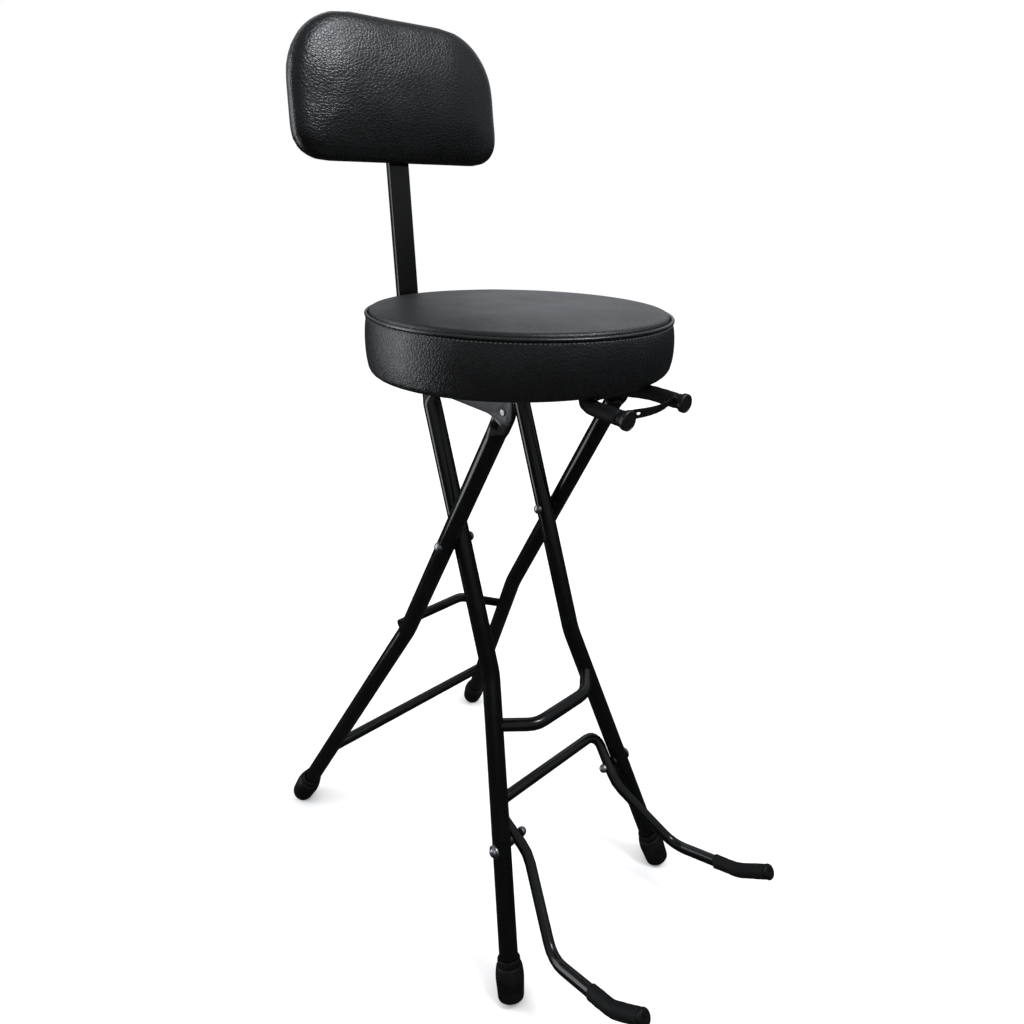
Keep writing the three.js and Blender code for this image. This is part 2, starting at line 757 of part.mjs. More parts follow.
// The tab in side view: flat under the bracket, cranked down to the rod's closed end.
function tabShape(grow) {
  const shape = new THREE.Shape();
  const rod = new THREE.Vector3(0, yokeDepth, 0).applyMatrix4(yoke.matrix);
  const top = armTop + grow;
  const low = top - yokeTabThickness - 2 * grow;
  const half = yokeTabThickness / 2 + grow;
  shape.moveTo(-yokeTabRoot + grow, top);
  shape.lineTo(-yokeTabBend, top);
  shape.lineTo(rod.y + yokeRadius, rod.z + half);
  shape.lineTo(rod.y, rod.z + half);
  shape.lineTo(rod.y, rod.z - half);
  shape.lineTo(rod.y + yokeRadius + yokeTabThickness, rod.z - half);
  shape.lineTo(-yokeTabBend + yokeTabThickness, low);
  shape.lineTo(-yokeTabRoot + grow, low);
  return shape;
}

const tabHoles = screws.filter(({ name }) => name === 'yoke_screw').map(({ x, y }) =>
  new THREE.CylinderGeometry(screwRadius + pinClearance, screwRadius + pinClearance, 4 * overrun, smallSides)
    .rotateX(Math.PI / 2).translate(x, y, 0));
const tab = cut(sideExtruded(tabShape(0), 2 * yokeTabHalfWidth), ...tabHoles).applyMatrix4(intoYoke);
const tabRoom = sideExtruded(tabShape(clearance), 2 * (yokeTabHalfWidth + clearance)).applyMatrix4(intoYoke);
place(yoke, 'yoke_rod', joined(pipe(yokeRoute(0), yokeRadius), tab), paint);
place(yoke, 'yoke_sleeve', cut(pipe(yokeRoute(sleeveStart), yokeFoamRadius, yokeRadius + clearance), tabRoom), foam);

// Turned pieces that face the front, height along -Y.
const turnedFront = (outline, count = smallSides) => turned(outline, count).rotateX(Math.PI / 2);

for (const [name, side] of sides) {
  place(yoke, `yoke_cap_${name}`, turnedFront([
    [0, 0], [yokeCapRadius, 0], [yokeCapRadius, yokeCapThickness * 0.7],
    [yokeCapRadius - yokeCapThickness * 0.3, yokeCapThickness], [0, yokeCapThickness]], tubeSides),
  plastic, [side * yokeHalfWidth, -clearance, 0]);
}

// The strap: an eye round each prong behind its cap, the right one open below so that it lifts off.

function strapBody() {
  const bore = yokeRadius + clearance;
  const eye = (side) => new THREE.CylinderGeometry(strapEyeRadius, strapEyeRadius, strapEyeThickness, tubeSides)
    .translate(side * yokeHalfWidth, clearance + strapEyeThickness / 2, 0);
  const heightAt = (x) =>
    THREE.MathUtils.mapLinear(x, -yokeHalfWidth, yokeHalfWidth, strapTallHeight, strapSlimHeight);
  const back = clearance + strapEyeThickness;
  const count = 8;
  const stations = [[-yokeHalfWidth, back]];
  for (let i = 0; i <= count; i++) {
    const share = (2 * i) / count - 1;
    stations.push([strapShoulder * share, back - strapBow * Math.cos((share * Math.PI) / 2)]);
  }
  stations.push([yokeHalfWidth, back]);
  const band = loft(stations.map(([x, y]) => {
    const low = strapTop - heightAt(x);
    return points([x, y, low], [x, y, strapTop], [x, y - strapThickness, strapTop], [x, y - strapThickness, low]);
  }));
  const drill = (side) => new THREE.CylinderGeometry(bore, bore, 4 * overrun, tubeSides)
    .translate(side * yokeHalfWidth, 0, 0);
  const mouth = box([yokeHalfWidth - bore, -overrun, -overrun], [yokeHalfWidth + bore, overrun, 0]);
  return cut(joined(eye(-1), eye(1), band), drill(-1), drill(1), mouth);
}

place(yoke, 'neck_strap', strapBody(), rubber);

// Backrest: a socket on an arm under the seat, a flat post in it, and a padded board on the post.

const back = new THREE.Group();
back.position.y = postBack;
back.rotation.x = -postLean;
seat.add(back);
stool.updateMatrixWorld(true);

const socketHalf = [
  postHalfWidth + receiverFit + receiverWall, postHalfDepth + receiverFit + receiverWall];
const socketLow = receiverRise - receiverHeight;
const knobHeight = receiverRise - knobDrop;
const alongY = (radius, from, to, count = smallSides) =>
  new THREE.CylinderGeometry(radius, radius, Math.abs(to - from), count).translate(0, (from + to) / 2, 0);

const socketBody = (grow) => box(
  [-socketHalf[0] - grow, -socketHalf[1] - grow, socketLow - grow],
  [socketHalf[0] + grow, socketHalf[1] + grow, receiverRise + grow]);
const bossReach = socketHalf[1] + knobNeckLength;
place(back, 'post_socket', cut(
  joined(socketBody(0), alongY(knobNeckRadius, 0, bossReach).translate(0, 0, knobHeight)),
  box([-postHalfWidth - receiverFit, -postHalfDepth - receiverFit, socketLow - overrun],
    [postHalfWidth + receiverFit, postHalfDepth + receiverFit, receiverRise + overrun]),
  alongY(knobStudRadius + pinClearance, 0, bossReach + overrun).translate(0, 0, knobHeight)), paint);

const intoSeat = back.matrix.clone();
const arm = box([-armHalfWidth, armFront, armUnder], [armHalfWidth, postBack, armTop]);
place(seat, 'backrest_arm', cut(arm, socketBody(clearance).applyMatrix4(intoSeat), ...screwHoles), paint);

const knobFace = bossReach + clearance;
const knobStudTip = postHalfDepth + clearance;
function knobBody() {
  const shape = new THREE.Shape();
  const lobes = 5;
  const count = lobes * 8;
  for (let i = 0; i < count; i++) {
    const angle = (i / count) * 2 * Math.PI;
    const radius = knobRadius - (knobLobeRadius / 2) * (1 - Math.cos(lobes * angle)) / 2;
    shape[i ? 'lineTo' : 'moveTo'](radius * Math.cos(angle), radius * Math.sin(angle));
  }
  const grip = extruded(shape, knobThickness).rotateX(-Math.PI / 2).translate(0, knobFace, 0);
  return joined(grip, alongY(knobStudRadius, knobStudTip, knobFace + knobThickness / 2));
}
place(back, 'clamp_knob', knobBody(), plastic, [0, 0, knobHeight]);

const postOuter = box([-postHalfWidth, -postHalfDepth, -postBottom], [postHalfWidth, postHalfDepth, postTop]);
const postBore = box(
  [-postHalfWidth + postWall, -postHalfDepth + postWall, -postBottom - overrun],
  [postHalfWidth - postWall, postHalfDepth - postWall, postTop + overrun]);
const padCentreRise = postTop - padCentreDrop;
const padScrewHeights = [padCentreRise - padScrewSpread, padCentreRise + padScrewSpread / 2];
const padScrewHoles = padScrewHeights.map((height) =>
  alongY(screwRadius + pinClearance, -postHalfDepth - padBoardThickness / 2 - screwLength, overrun)
    .translate(0, 0, height));
place(back, 'backrest_post', cut(postOuter, postBore, ...padScrewHoles), paint);
const plugIn = postWall + clearance;
place(back, 'post_plug', joined(
  box([-postHalfWidth, -postHalfDepth, postTop + clearance], [postHalfWidth, postHalfDepth, postTop + 2 * postWall]),
  box([-postHalfWidth + plugIn, -postHalfDepth + plugIn, postTop - overrun],
    [postHalfWidth - plugIn, postHalfDepth - plugIn, postTop + postWall])), plastic);

// The pad's outline seen from the front, drawn in by an inset and a little narrower at the top.
function padRing(inset, y) {
  const steps = 6;
  const corners = [[1, 1, padTopCorner], [-1, 1, padTopCorner], [-1, -1, padBottomCorner], [1, -1, padBottomCorner]];
  return corners.flatMap(([across, up, corner], n) => {
    const radius = Math.max(corner - inset, corner / 4);
    const x = across * (padHalfWidth - inset - radius);
    const z = up * (padHalfHeight - inset - radius);
    return Array.from({ length: steps + 1 }, (_, i) => {
      const angle = (n + i / steps) * (Math.PI / 2);
      const height = z + radius * Math.sin(angle);
      const narrowing = 1 - padTaperShare * (0.5 + height / (2 * padHalfHeight));
      return new THREE.Vector3((x + radius * Math.cos(angle)) * narrowing, y, height);
    });
  });
}

const padRear = -postHalfDepth - clearance;
const padBoard = (grow) => loft([
  padRing(padBoardInset - grow, padRear + (grow ? overrun : 0)),
  padRing(padBoardInset - grow, padRear - padBoardThickness - grow)]);
function padBody() {
  const edge = padRear - padDepth;
  const roll = [90, 60, 30, 0].map((angle) => angle * degree);
  const rings = [padRing(padEdgeRadius / 2, padRear), padRing(padBulge / 2, padRear - padEdgeRadius / 3)];
  rings.push(padRing(0, padRear - padEdgeRadius), padRing(-padBulge, (padRear + edge) / 2));
  for (const angle of roll) {
    rings.push(padRing(
      padEdgeRadius * (1 - Math.sin(angle)), edge + padEdgeRadius * (1 - Math.cos(angle))));
  }
  const crownShares = [0.12, 0.3, 0.55, 0.8];
  for (const share of crownShares) {
    const lift = padCrown * Math.sin((share * Math.PI) / 2);
    rings.push(padRing(padEdgeRadius + share * (padHalfHeight - padEdgeRadius), edge - lift));
  }
  return loft(rings);
}
const padPlace = [0, 0, padCentreRise];
place(back, 'backrest_pad', cut(padBody(), padBoard(clearance)), vinyl, padPlace);
place(back, 'backrest_board', cut(padBoard(0), ...padScrewHoles.map((hole) =>
  hole.clone().translate(0, 0, -padCentreRise))), plywood, padPlace);
padScrewHeights.forEach((height, i) => {
  const length = 2 * postHalfDepth + padBoardThickness / 2 + 2 * clearance;
  const outline = [
    [0, -screwHeadHeight], [screwHeadRadius * 0.7, -screwHeadHeight], [screwHeadRadius, -screwHeadHeight * 0.3],
    [screwHeadRadius, 0], [screwRadius, 0], [screwRadius, length], [0, length],
  ];
  place(back, `backrest_screw_${i + 1}`, turnedFront(outline, screwSides), chrome,
    [0, postHalfDepth + clearance, height]);
});

// Cradle: one bent tube. Its closed end stops behind the front legs, its arms carry foam sleeves.

const cradle = new THREE.Group();
cradle.position.z = -cradleDrop;
cradle.rotation.x = frontLean;
frontFrame.add(cradle);

const cradlePivotX = legOffset(frontPlan, cradleDrop);
const legHalfSpan = legRadius / Math.cos(flare(frontPlan));
const upLeg = [Math.sin(frontLean), Math.cos(frontLean)];
const barAt = [
  cradleBarRise * upLeg[0] + cradleBarBack * upLeg[1],
  cradleBarRise * upLeg[1] - cradleBarBack * upLeg[0]];
const kneeShare = cradleKneeDrop / Math.hypot(...barAt);
const cradleSplay = Math.atan2(cradleTopSpread, Math.hypot(...barAt));
const besideTube = (radius) => cradleRadius / Math.cos(cradleSplay) + radius * Math.tan(cradleSplay) + clearance;
const cradleHalfWidth = cradlePivotX - legHalfSpan - cradleSpacerLength - besideTube(cradleSpacerRadius);
const cradleTopHalfWidth = cradleHalfWidth + cradleTopSpread;
const cradleValleyHalfWidth = cradleHalfWidth + cradleValleySpread;
const cradleTipHalfWidth = cradleHalfWidth + cradleTipSpread;
const armCorners = [
  [cradleTopHalfWidth, barAt[0], barAt[1]],
  [cradleHalfWidth - cradleTopSpread * kneeShare, -barAt[0] * kneeShare, -barAt[1] * kneeShare],
  [cradleValleyHalfWidth, -cradleValleyReach, -cradleValleyDrop],
  [cradleTipHalfWidth, -cradleElbowReach, -cradleElbowDrop],
  [cradleTipHalfWidth, -cradleTipReach, -cradleTipDrop],
];
const armRadii = [cradleCornerRadius, cradleKneeRadius, cradleValleyRadius, cradleElbowRadius];
const mirrored = armCorners.map(([x, y, z]) => [-x, y, z]);
const cradleRoute = new BentRun(
  points(...[...mirrored].reverse(), ...armCorners), [...[...armRadii].reverse(), ...armRadii]);
const boltHoles = sides.map(([, side]) => barX(
  cradleBoltRadius + pinClearance, side * (cradleHalfWidth - overrun), side * (cradleHalfWidth + overrun)));
place(cradle, 'cradle_tube', cut(pipe(cradleRoute, cradleRadius), ...boltHoles), paint);

// The run of the arm's end that a sleeve covers.
function armEnd(side, length, overshoot) {
  const [elbow, tip] = armCorners.slice(-2).map(([x, y, z]) => new THREE.Vector3(side * x, y, z));
  const before = new THREE.Vector3(side * cradleValleyHalfWidth, -cradleValleyReach, -cradleValleyDrop);
  const last = tip.clone().sub(elbow);
  const start = elbow.clone().addScaledVector(before.sub(elbow).normalize(), length - last.length());
  return new BentRun([start, elbow, tip.addScaledVector(last.normalize(), overshoot)], [cradleElbowRadius]);
}

for (const [name, side] of sides) {
  place(cradle, `cradle_sleeve_${name}`,
    pipe(armEnd(side, sleeveLength, 0), sleeveRadius, cradleRadius + clearance), foam);
  const tip = new THREE.Vector3(side * cradleTipHalfWidth, -cradleTipReach, -cradleTipDrop);
  const heading = new THREE.Vector3(0, cradleElbowReach - cradleTipReach, cradleElbowDrop - cradleTipDrop).normalize();
  const cap = turned([
    [0, 0], [cradleCapRadius, 0], [cradleCapRadius, cradleCapThickness * 0.5],
    [cradleCapRadius * 0.86, cradleCapThickness * 0.85], [cradleCapRadius * 0.6, cradleCapThickness],
    [0, cradleCapThickness]], tubeSides);
  const mesh = place(cradle, `cradle_cap_${name}`, cap, plastic, tip.addScaledVector(heading, clearance).toArray());
  mesh.quaternion.setFromUnitVectors(new THREE.Vector3(0, 0, 1), heading);

  const outer = side * (cradlePivotX + legHalfSpan + clearance);
  const inner = side * (cradleHalfWidth - besideTube(cradleHeadRadius));
  const head = turnedX(domeOutline(cradleHeadRadius, cradleHeadHeight), side)
    .translate(outer + side * cradleWasherThickness, 0, 0);
  const washer = barX(cradleWasherRadius, outer, outer + side * cradleWasherThickness);
  const leg = grownLeg(frontPlan, side).translate(0, 0, cradleDrop);
  const shank = barX(cradleBoltRadius, inner - side * cradleHeadHeight / 2, outer);
  const bolt = place(frontFrame, `cradle_bolt_${name}`,
    joined(cut(joined(head, washer), leg), shank), chrome, [0, 0, -cradleDrop]);
  bolt.updateMatrix();
  const nut = turnedX(domeOutline(cradleHeadRadius, cradleHeadHeight + cradleBoltRadius), -side);
  const threadEnd = inner - side * (cradleHeadHeight / 2 + clearance);
  const thread = barX(cradleBoltRadius + pinClearance, inner + side * overrun, threadEnd);
  place(frontFrame, `cradle_nut_${name}`, cut(nut.translate(inner, 0, 0), thread), chrome, [0, 0, -cradleDrop]);
  const spacerFrom = side * (cradleHalfWidth + besideTube(cradleSpacerRadius));
  const spacer = cut(barX(cradleSpacerRadius, spacerFrom, side * cradlePivotX),
    leg, barX(cradleBoltRadius + pinClearance, spacerFrom - side * overrun, side * cradlePivotX + side * overrun));
  place(frontFrame, `cradle_spacer_${name}`, spacer, plastic, [0, 0, -cradleDrop]);
}

// The origin is on the floor under the middle of the stool's outline.

stool.updateMatrixWorld(true);
const extent = new THREE.Box3().setFromObject(stool);
stool.position.y = -(extent.min.y + extent.max.y) / 2;

export default stool;
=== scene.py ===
import json
import math
import random

import bmesh
import bpy
from mathutils import Matrix, Vector, noise


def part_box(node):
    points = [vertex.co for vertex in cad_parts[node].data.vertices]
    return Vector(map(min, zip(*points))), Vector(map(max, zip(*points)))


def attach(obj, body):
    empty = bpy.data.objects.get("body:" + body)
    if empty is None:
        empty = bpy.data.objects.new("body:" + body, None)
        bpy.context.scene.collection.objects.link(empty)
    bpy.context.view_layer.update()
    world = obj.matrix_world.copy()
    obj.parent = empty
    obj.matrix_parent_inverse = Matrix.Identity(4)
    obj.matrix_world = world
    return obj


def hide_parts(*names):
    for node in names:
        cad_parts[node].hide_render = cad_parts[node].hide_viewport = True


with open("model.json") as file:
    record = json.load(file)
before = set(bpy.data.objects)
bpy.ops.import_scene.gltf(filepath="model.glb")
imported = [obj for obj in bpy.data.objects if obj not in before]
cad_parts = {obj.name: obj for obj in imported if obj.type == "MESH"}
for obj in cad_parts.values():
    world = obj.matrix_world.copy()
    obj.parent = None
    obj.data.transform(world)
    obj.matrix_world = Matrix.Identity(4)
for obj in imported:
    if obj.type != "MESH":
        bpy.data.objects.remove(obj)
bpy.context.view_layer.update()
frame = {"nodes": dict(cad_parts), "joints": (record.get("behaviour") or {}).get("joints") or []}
nodes = frame["nodes"]
joints = {joint["name"]: joint for joint in frame["joints"]}
print("frame loaded,", len(nodes), "nodes")

# pieces are measured in millimetres, while voxels, caps, reliefs and the studio are in metres
mm = 0.001


def millimetres(*triple):
    return Vector(triple) * mm


def shifted(*triple):
    return Matrix.Translation(millimetres(*triple))


def turned(angle, axis):
    return Matrix.Rotation(angle, 4, axis)


# places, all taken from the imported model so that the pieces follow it
lean = {"rear": math.radians(29.75), "front": math.radians(18.25), "post": math.radians(4.4),
        "yoke": math.radians(4)}
crossing = Vector(joints["frame_fold"]["pos_m"])
boardLow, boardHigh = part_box("seat_board")
seatMiddle = Vector((0, (boardLow.y + boardHigh.y) / 2, boardLow.z))
seatPlace = Matrix.Translation(seatMiddle)
rearPlace = Matrix.Translation(crossing) @ turned(lean["rear"], "X")
frontPlace = Matrix.Translation(crossing) @ turned(-lean["front"], "X")
backPlace = seatPlace @ Matrix.Translation((0, 0.215, 0)) @ turned(-lean["post"], "X")
yokePlace = seatPlace @ Matrix.Translation((0, -0.1925, -0.015)) @ turned(lean["yoke"], "X")
cradlePlace = Matrix.Translation(Vector(joints["cradle_fold"]["pos_m"]))
sides = ((-1, "Left"), (1, "Right"))


# shader maths written as expressions on sockets
class Flow:
    def __init__(self, tree, socket):
        self.tree = tree
        self.socket = socket

    def maths(self, operation, other=None, swap=False):
        node = self.tree.nodes.new("ShaderNodeMath")
        node.operation = operation
        values = [self, other][::-1] if swap else [self, other]
        for slotNumber, value in enumerate(values):
            if isinstance(value, Flow):
                self.tree.links.new(value.socket, node.inputs[slotNumber])
            elif value is not None:
                node.inputs[slotNumber].default_value = value
        return Flow(self.tree, node.outputs[0])

    def __add__(self, other):
        return self.maths("ADD", other)

    def __radd__(self, other):
        return self.maths("ADD", other)

    def __sub__(self, other):
        return self.maths("SUBTRACT", other)

    def __rsub__(self, other):
        return self.maths("SUBTRACT", other, True)

    def __mul__(self, other):
        return self.maths("MULTIPLY", other)

    def __rmul__(self, other):
        return self.maths("MULTIPLY", other)


# any node of a tree: its settings first, then the values or links of its sockets
class Desk:
    def __init__(self, tree):
        self.tree = tree

    def node(self, kind, settings=None, sockets=None, output=0):
        made = self.tree.nodes.new(kind)
        for key, value in (settings or {}).items():
            setattr(made, key, value)
        for key, value in (sockets or {}).items():
            if isinstance(value, Flow):
                self.tree.links.new(value.socket, made.inputs[key])
            else:
                made.inputs[key].default_value = value
        return Flow(self.tree, made.outputs[output])

    def fitted(self, value, low, high, newLow=0, newHigh=1):
        return self.node("ShaderNodeMapRange", {"clamp": True}, {
            "Value": value, "From Min": low, "From Max": high, "To Min": newLow, "To Max": newHigh})


class Finish(Desk):
    def __init__(self, name, constants):
        self.material = bpy.data.materials.new(name)
        self.material.use_nodes = True
        super().__init__(self.material.node_tree)
        self.shader = self.tree.nodes["Principled BSDF"]
        for socket, value in constants.items():
            self.shader.inputs[socket].default_value = value
        self.position = self.node("ShaderNodeTexCoord", output="Object")

    def moved(self, scale):
        return self.node("ShaderNodeMapping", None, {"Vector": self.position, "Scale": scale})

    def clouds(self, scale, detail=2, roughness=0.5, at=None, distortion=0):
        return self.node("ShaderNodeTexNoise", None, {
            "Vector": at or self.position, "Scale": scale, "Detail": detail, "Roughness": roughness,
            "Distortion": distortion})

    def cells(self, scale, feature="F1", at=None):
        return self.node("ShaderNodeTexVoronoi", {"feature": feature}, {
            "Vector": at or self.position, "Scale": scale})

    def drifted(self, reach, scale, at):
        swing = self.node("ShaderNodeTexNoise", None, {"Vector": at, "Scale": scale, "Detail": 2}, output=1)
        return self.node("ShaderNodeVectorMath", {"operation": "MULTIPLY_ADD"}, {
            0: swing, 1: (reach, reach, reach), 2: at})

    def mixed(self, share, first, second):
        return self.node("ShaderNodeMix", {"data_type": "RGBA"}, {0: share, 6: first, 7: second}, output=2)

    def feed(self, socket, value):
        self.tree.links.new(value.socket, self.shader.inputs[socket])

    def relief(self, height, distance):
        bump = self.node("ShaderNodeBump", None, {"Height": height, "Distance": distance, "Strength": 1},
                         output="Normal")
        self.feed("Normal", bump)


def grey(level, tint=0.0):
    return (level * (1 - tint), level, level * (1 + tint), 1)


# pebbled upholstery vinyl: cells with soft creases between them, the creases painted darker as painted shade,
# finer cells inside, a slightly worn sheen
def makeVinyl(name, look):
    finish = Finish(name, {"IOR": 1.5, "Specular IOR Level": look["gloss"]})
    drift = finish.drifted(look["bend"], look["cell"] * 0.45, finish.moved(look["stretch"]))
    crease = finish.fitted(finish.cells(look["cell"], "DISTANCE_TO_EDGE", drift), 0, 0.24)
    dome = 1 - finish.cells(look["cell"], "F1", drift)
    small = finish.fitted(finish.cells(look["cell"] * 2.3, "DISTANCE_TO_EDGE", drift), 0, 0.3)
    pores = finish.clouds(look["cell"] * 9, 2, 0.6)
    wear = finish.fitted(finish.clouds(13, 4, 0.6), 0.36, 0.68)
    tone = finish.mixed(wear * 0.6 + pores * 0.25, grey(look["shade"], 0.1), grey(look["shade"] * 1.8, 0.13))
    # painted shade: the base colour drops to 0.6 of its shade in the creases between the cells, where the
    # relief makes grooves
    finish.feed("Base Color", finish.mixed(crease, grey(look["shade"] * 0.6, 0.05), tone))
    finish.feed("Roughness", finish.fitted(wear * 0.6 + (1 - crease) * 0.5, 0, 1.1, *look["rough"]))
    finish.relief(crease * 0.45 + dome * 0.35 + small * 0.16 + pores * 0.07, look["relief"])
    return finish.material


def makePaint(name, look):
    finish = Finish(name, {"IOR": 1.5, "Specular IOR Level": look["gloss"]})
    peel = finish.clouds(look["peel"], 2, 0.5)
    rub = finish.fitted(finish.clouds(28, 5, 0.65), 0.52, 0.74)
    dark, worn = grey(look["shade"], 0.05), grey(look["shade"] * 2, 0.06)
    finish.feed("Base Color", finish.mixed(rub * 0.6, dark, worn))
    finish.feed("Roughness", finish.fitted(rub + peel * 0.3, 0, 1.3, *look["rough"]))
    finish.relief(peel, look["relief"])
    return finish.material


def makeMetal(name, look):
    finish = Finish(name, {"Metallic": 1.0})
    streak = finish.clouds(60, 4, 0.6, finish.moved((1, 1, 9)))
    finish.feed("Base Color", finish.mixed(streak, grey(look["low"], 0.02), grey(look["high"], 0.01)))
    finish.feed("Roughness", finish.fitted(streak, 0.3, 0.7, *look["rough"]))
    return finish.material


def makeFoam():
    finish = Finish("foamSleeve", {"IOR": 1.4, "Specular IOR Level": 0.25})
    pores = finish.fitted(finish.cells(1300, "F1"), 0.1, 0.75)
    patch = finish.clouds(60, 4, 0.6)
    # painted shade and random tone: the base colour darkens in the pits that the relief sinks at the cells,
    # and shifts with the cloudy patches
    finish.feed("Base Color", finish.mixed(pores * 0.6 + patch * 0.4, grey(0.0016, 0.05), grey(0.0055, 0.08)))
    finish.feed("Roughness", finish.fitted(patch, 0.3, 0.7, 0.55, 0.74))
    finish.relief(pores * 0.6 + patch * 0.4, 0.00009)
    return finish.material


def makePlywood():
    finish = Finish("rawPlywood", {"IOR": 1.45, "Specular IOR Level": 0.3})
    fibre = finish.clouds(5, 6, 0.6, finish.moved((3, 40, 40)), 0.6)
    pore = finish.fitted(finish.clouds(60, 3, 0.6, finish.moved((2, 30, 30))), 0.5, 0.62)
    knot = finish.clouds(7, 3, 0.5, finish.moved((1, 3, 3)), 1.2)
    tone = finish.mixed(fibre, (0.26, 0.17, 0.09, 1), (0.5, 0.36, 0.21, 1))
    tone = finish.mixed(finish.fitted(knot, 0.52, 0.7, 0, 0.55), tone, (0.2, 0.12, 0.06, 1))
    finish.feed("Base Color", finish.mixed(pore * 0.4, tone, (0.15, 0.09, 0.05, 1)))
    finish.feed("Roughness", finish.fitted(fibre, 0.3, 0.7, 0.62, 0.8))
    finish.relief(fibre * 0.6 + pore * 0.4, 0.0002)
    return finish.material


# a plain finish: one cloudy pattern shifts shade and roughness, and that or a finer one gives the relief
def makeCoat(name, own):
    look = {**usualCoat, **own}
    finish = Finish(name, look["shader"])
    patch = finish.clouds(*look["patch"], finish.moved(look["stretch"]), look["bend"])
    shade = finish.fitted(patch, *look["shadeFrom"])
    dark, pale = (grey(level, look["tint"]) for level in look["shades"])
    finish.feed("Base Color", finish.mixed(shade, dark, pale))
    finish.feed("Roughness", finish.fitted(patch, *look["roughFrom"], *look["rough"]))
    finish.relief(finish.clouds(look["grain"]) if look["grain"] else patch, look["relief"])
    return finish.material


vinylLooks = {
    "seatVinyl": {"cell": 310, "bend": 0.0024, "stretch": (1, 1, 1), "relief": 0.0003, "shade": 0.0036,
                  "rough": (0.28, 0.42), "gloss": 0.5},
    "padVinyl": {"cell": 265, "bend": 0.003, "stretch": (0.85, 1, 1.15), "relief": 0.00028, "shade": 0.0026,
                 "rough": (0.24, 0.38), "gloss": 0.5},
    "pipingVinyl": {"cell": 620, "bend": 0.001, "stretch": (1, 1, 1), "relief": 0.0001, "shade": 0.003,
                    "rough": (0.2, 0.3), "gloss": 0.7},
}
paintLooks = {
    "tubePaint": {"shade": 0.0018, "peel": 420, "relief": 0.00003, "rough": (0.16, 0.26), "gloss": 0.38},
    "sheetPaint": {"shade": 0.005, "peel": 900, "relief": 0.00005, "rough": (0.4, 0.52), "gloss": 0.5},
}
metalLooks = {
    "brightPlating": {"low": 0.6, "high": 0.82, "rough": (0.12, 0.28)},
    "dullPlating": {"low": 0.2, "high": 0.34, "rough": (0.3, 0.45)},
}
# what a plain finish has unless its own row says otherwise
usualCoat = {"stretch": (1, 1, 1), "bend": 0, "shadeFrom": (0, 1), "tint": 0, "roughFrom": (0.3, 0.7),
             "grain": 0}
coatLooks = {
    "mouldedRubber": {"shader": {"IOR": 1.45, "Specular IOR Level": 0.25}, "patch": (45, 5, 0.6),
                      "shadeFrom": (0.45, 0.75), "shades": (0.0015, 0.0045), "tint": 0.03,
                      "roughFrom": (0.45, 0.75), "rough": (0.46, 0.66), "grain": 900, "relief": 0.00005},
    "mouldedPlastic": {"shader": {"IOR": 1.46}, "patch": (50, 3, 0.5), "shades": (0.002, 0.0055),
                       "tint": 0.03, "rough": (0.34, 0.5), "grain": 1500, "relief": 0.00003},
    "blackStainedBoard": {"shader": {"IOR": 1.45, "Specular IOR Level": 0.35}, "patch": (5, 6, 0.6),
                          "stretch": (3, 40, 40), "bend": 0.5, "shades": (0.008, 0.022), "rough": (0.5, 0.7),
                          "relief": 0.00012},
    # painted highlight: the thread's shades are raised well above black so the stitches read as a pale dotted
    # line
    "threadPaintedHighlight": {"shader": {"IOR": 1.45}, "patch": (1600, 2, 0.5), "shades": (0.05, 0.13),
                    "rough": (0.45, 0.65), "relief": 0.00006},
}


def made(maker, looks, name):
    return maker(name, looks[name])


finishes = {
    "vinyl": made(makeVinyl, vinylLooks, "seatVinyl"),
    "padVinyl": made(makeVinyl, vinylLooks, "padVinyl"),
    "piping": made(makeVinyl, vinylLooks, "pipingVinyl"),
    "paint": made(makePaint, paintLooks, "tubePaint"),
    "sheet": made(makePaint, paintLooks, "sheetPaint"),
    "chrome": made(makeMetal, metalLooks, "brightPlating"),
    "dull": made(makeMetal, metalLooks, "dullPlating"),
    "rubber": made(makeCoat, coatLooks, "mouldedRubber"),
    "foam": makeFoam(),
    "plastic": made(makeCoat, coatLooks, "mouldedPlastic"),
    "plywood": makePlywood(),
    "stain": made(makeCoat, coatLooks, "blackStainedBoard"),
    "thread": made(makeCoat, coatLooks, "threadPaintedHighlight"),
}
print("finishes made")


# making and placing pieces
def newObject(name, data):
    obj = bpy.data.objects.new(name, data)
    bpy.context.scene.collection.objects.link(obj)
    return obj


def piece(name, mesh, finish, body, stands=()):
    obj = newObject(name, mesh)
    mesh.materials.clear()
    mesh.materials.append(finishes[finish])
    for face in mesh.polygons:
        face.use_smooth = True
    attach(obj, body)
    if stands:
        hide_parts(*stands)
    return obj


def meshOf(bm, name, turnOut=True):
    if turnOut:
        bmesh.ops.recalc_face_normals(bm, faces=bm.faces)
    mesh = bpy.data.meshes.new(name)
    bm.to_mesh(mesh)
    bm.free()
    return mesh


def merge(bm, reach):
    bmesh.ops.remove_doubles(bm, verts=bm.verts, dist=reach)


def addModifier(obj, kind, **settings):
    modifier = obj.modifiers.new(kind.title(), kind)
    for key, value in settings.items():
        setattr(modifier, key, value)


# smooth shading that stays crisp at edges sharper than this angle
def keepEdges(obj, degrees):
    addModifier(obj, "EDGE_SPLIT", split_angle=math.radians(degrees), use_edge_sharp=False)


# the mesh of a holder object with its modifiers or its curve settings worked out; the holder goes
def shaped(holder):
    bpy.context.view_layer.update()
    mesh = bpy.data.meshes.new_from_object(holder.evaluated_get(bpy.context.evaluated_depsgraph_get()))
    bpy.data.objects.remove(holder)
    bm = bmesh.new()
    bm.from_mesh(mesh)
    bpy.data.meshes.remove(mesh)
    return bm


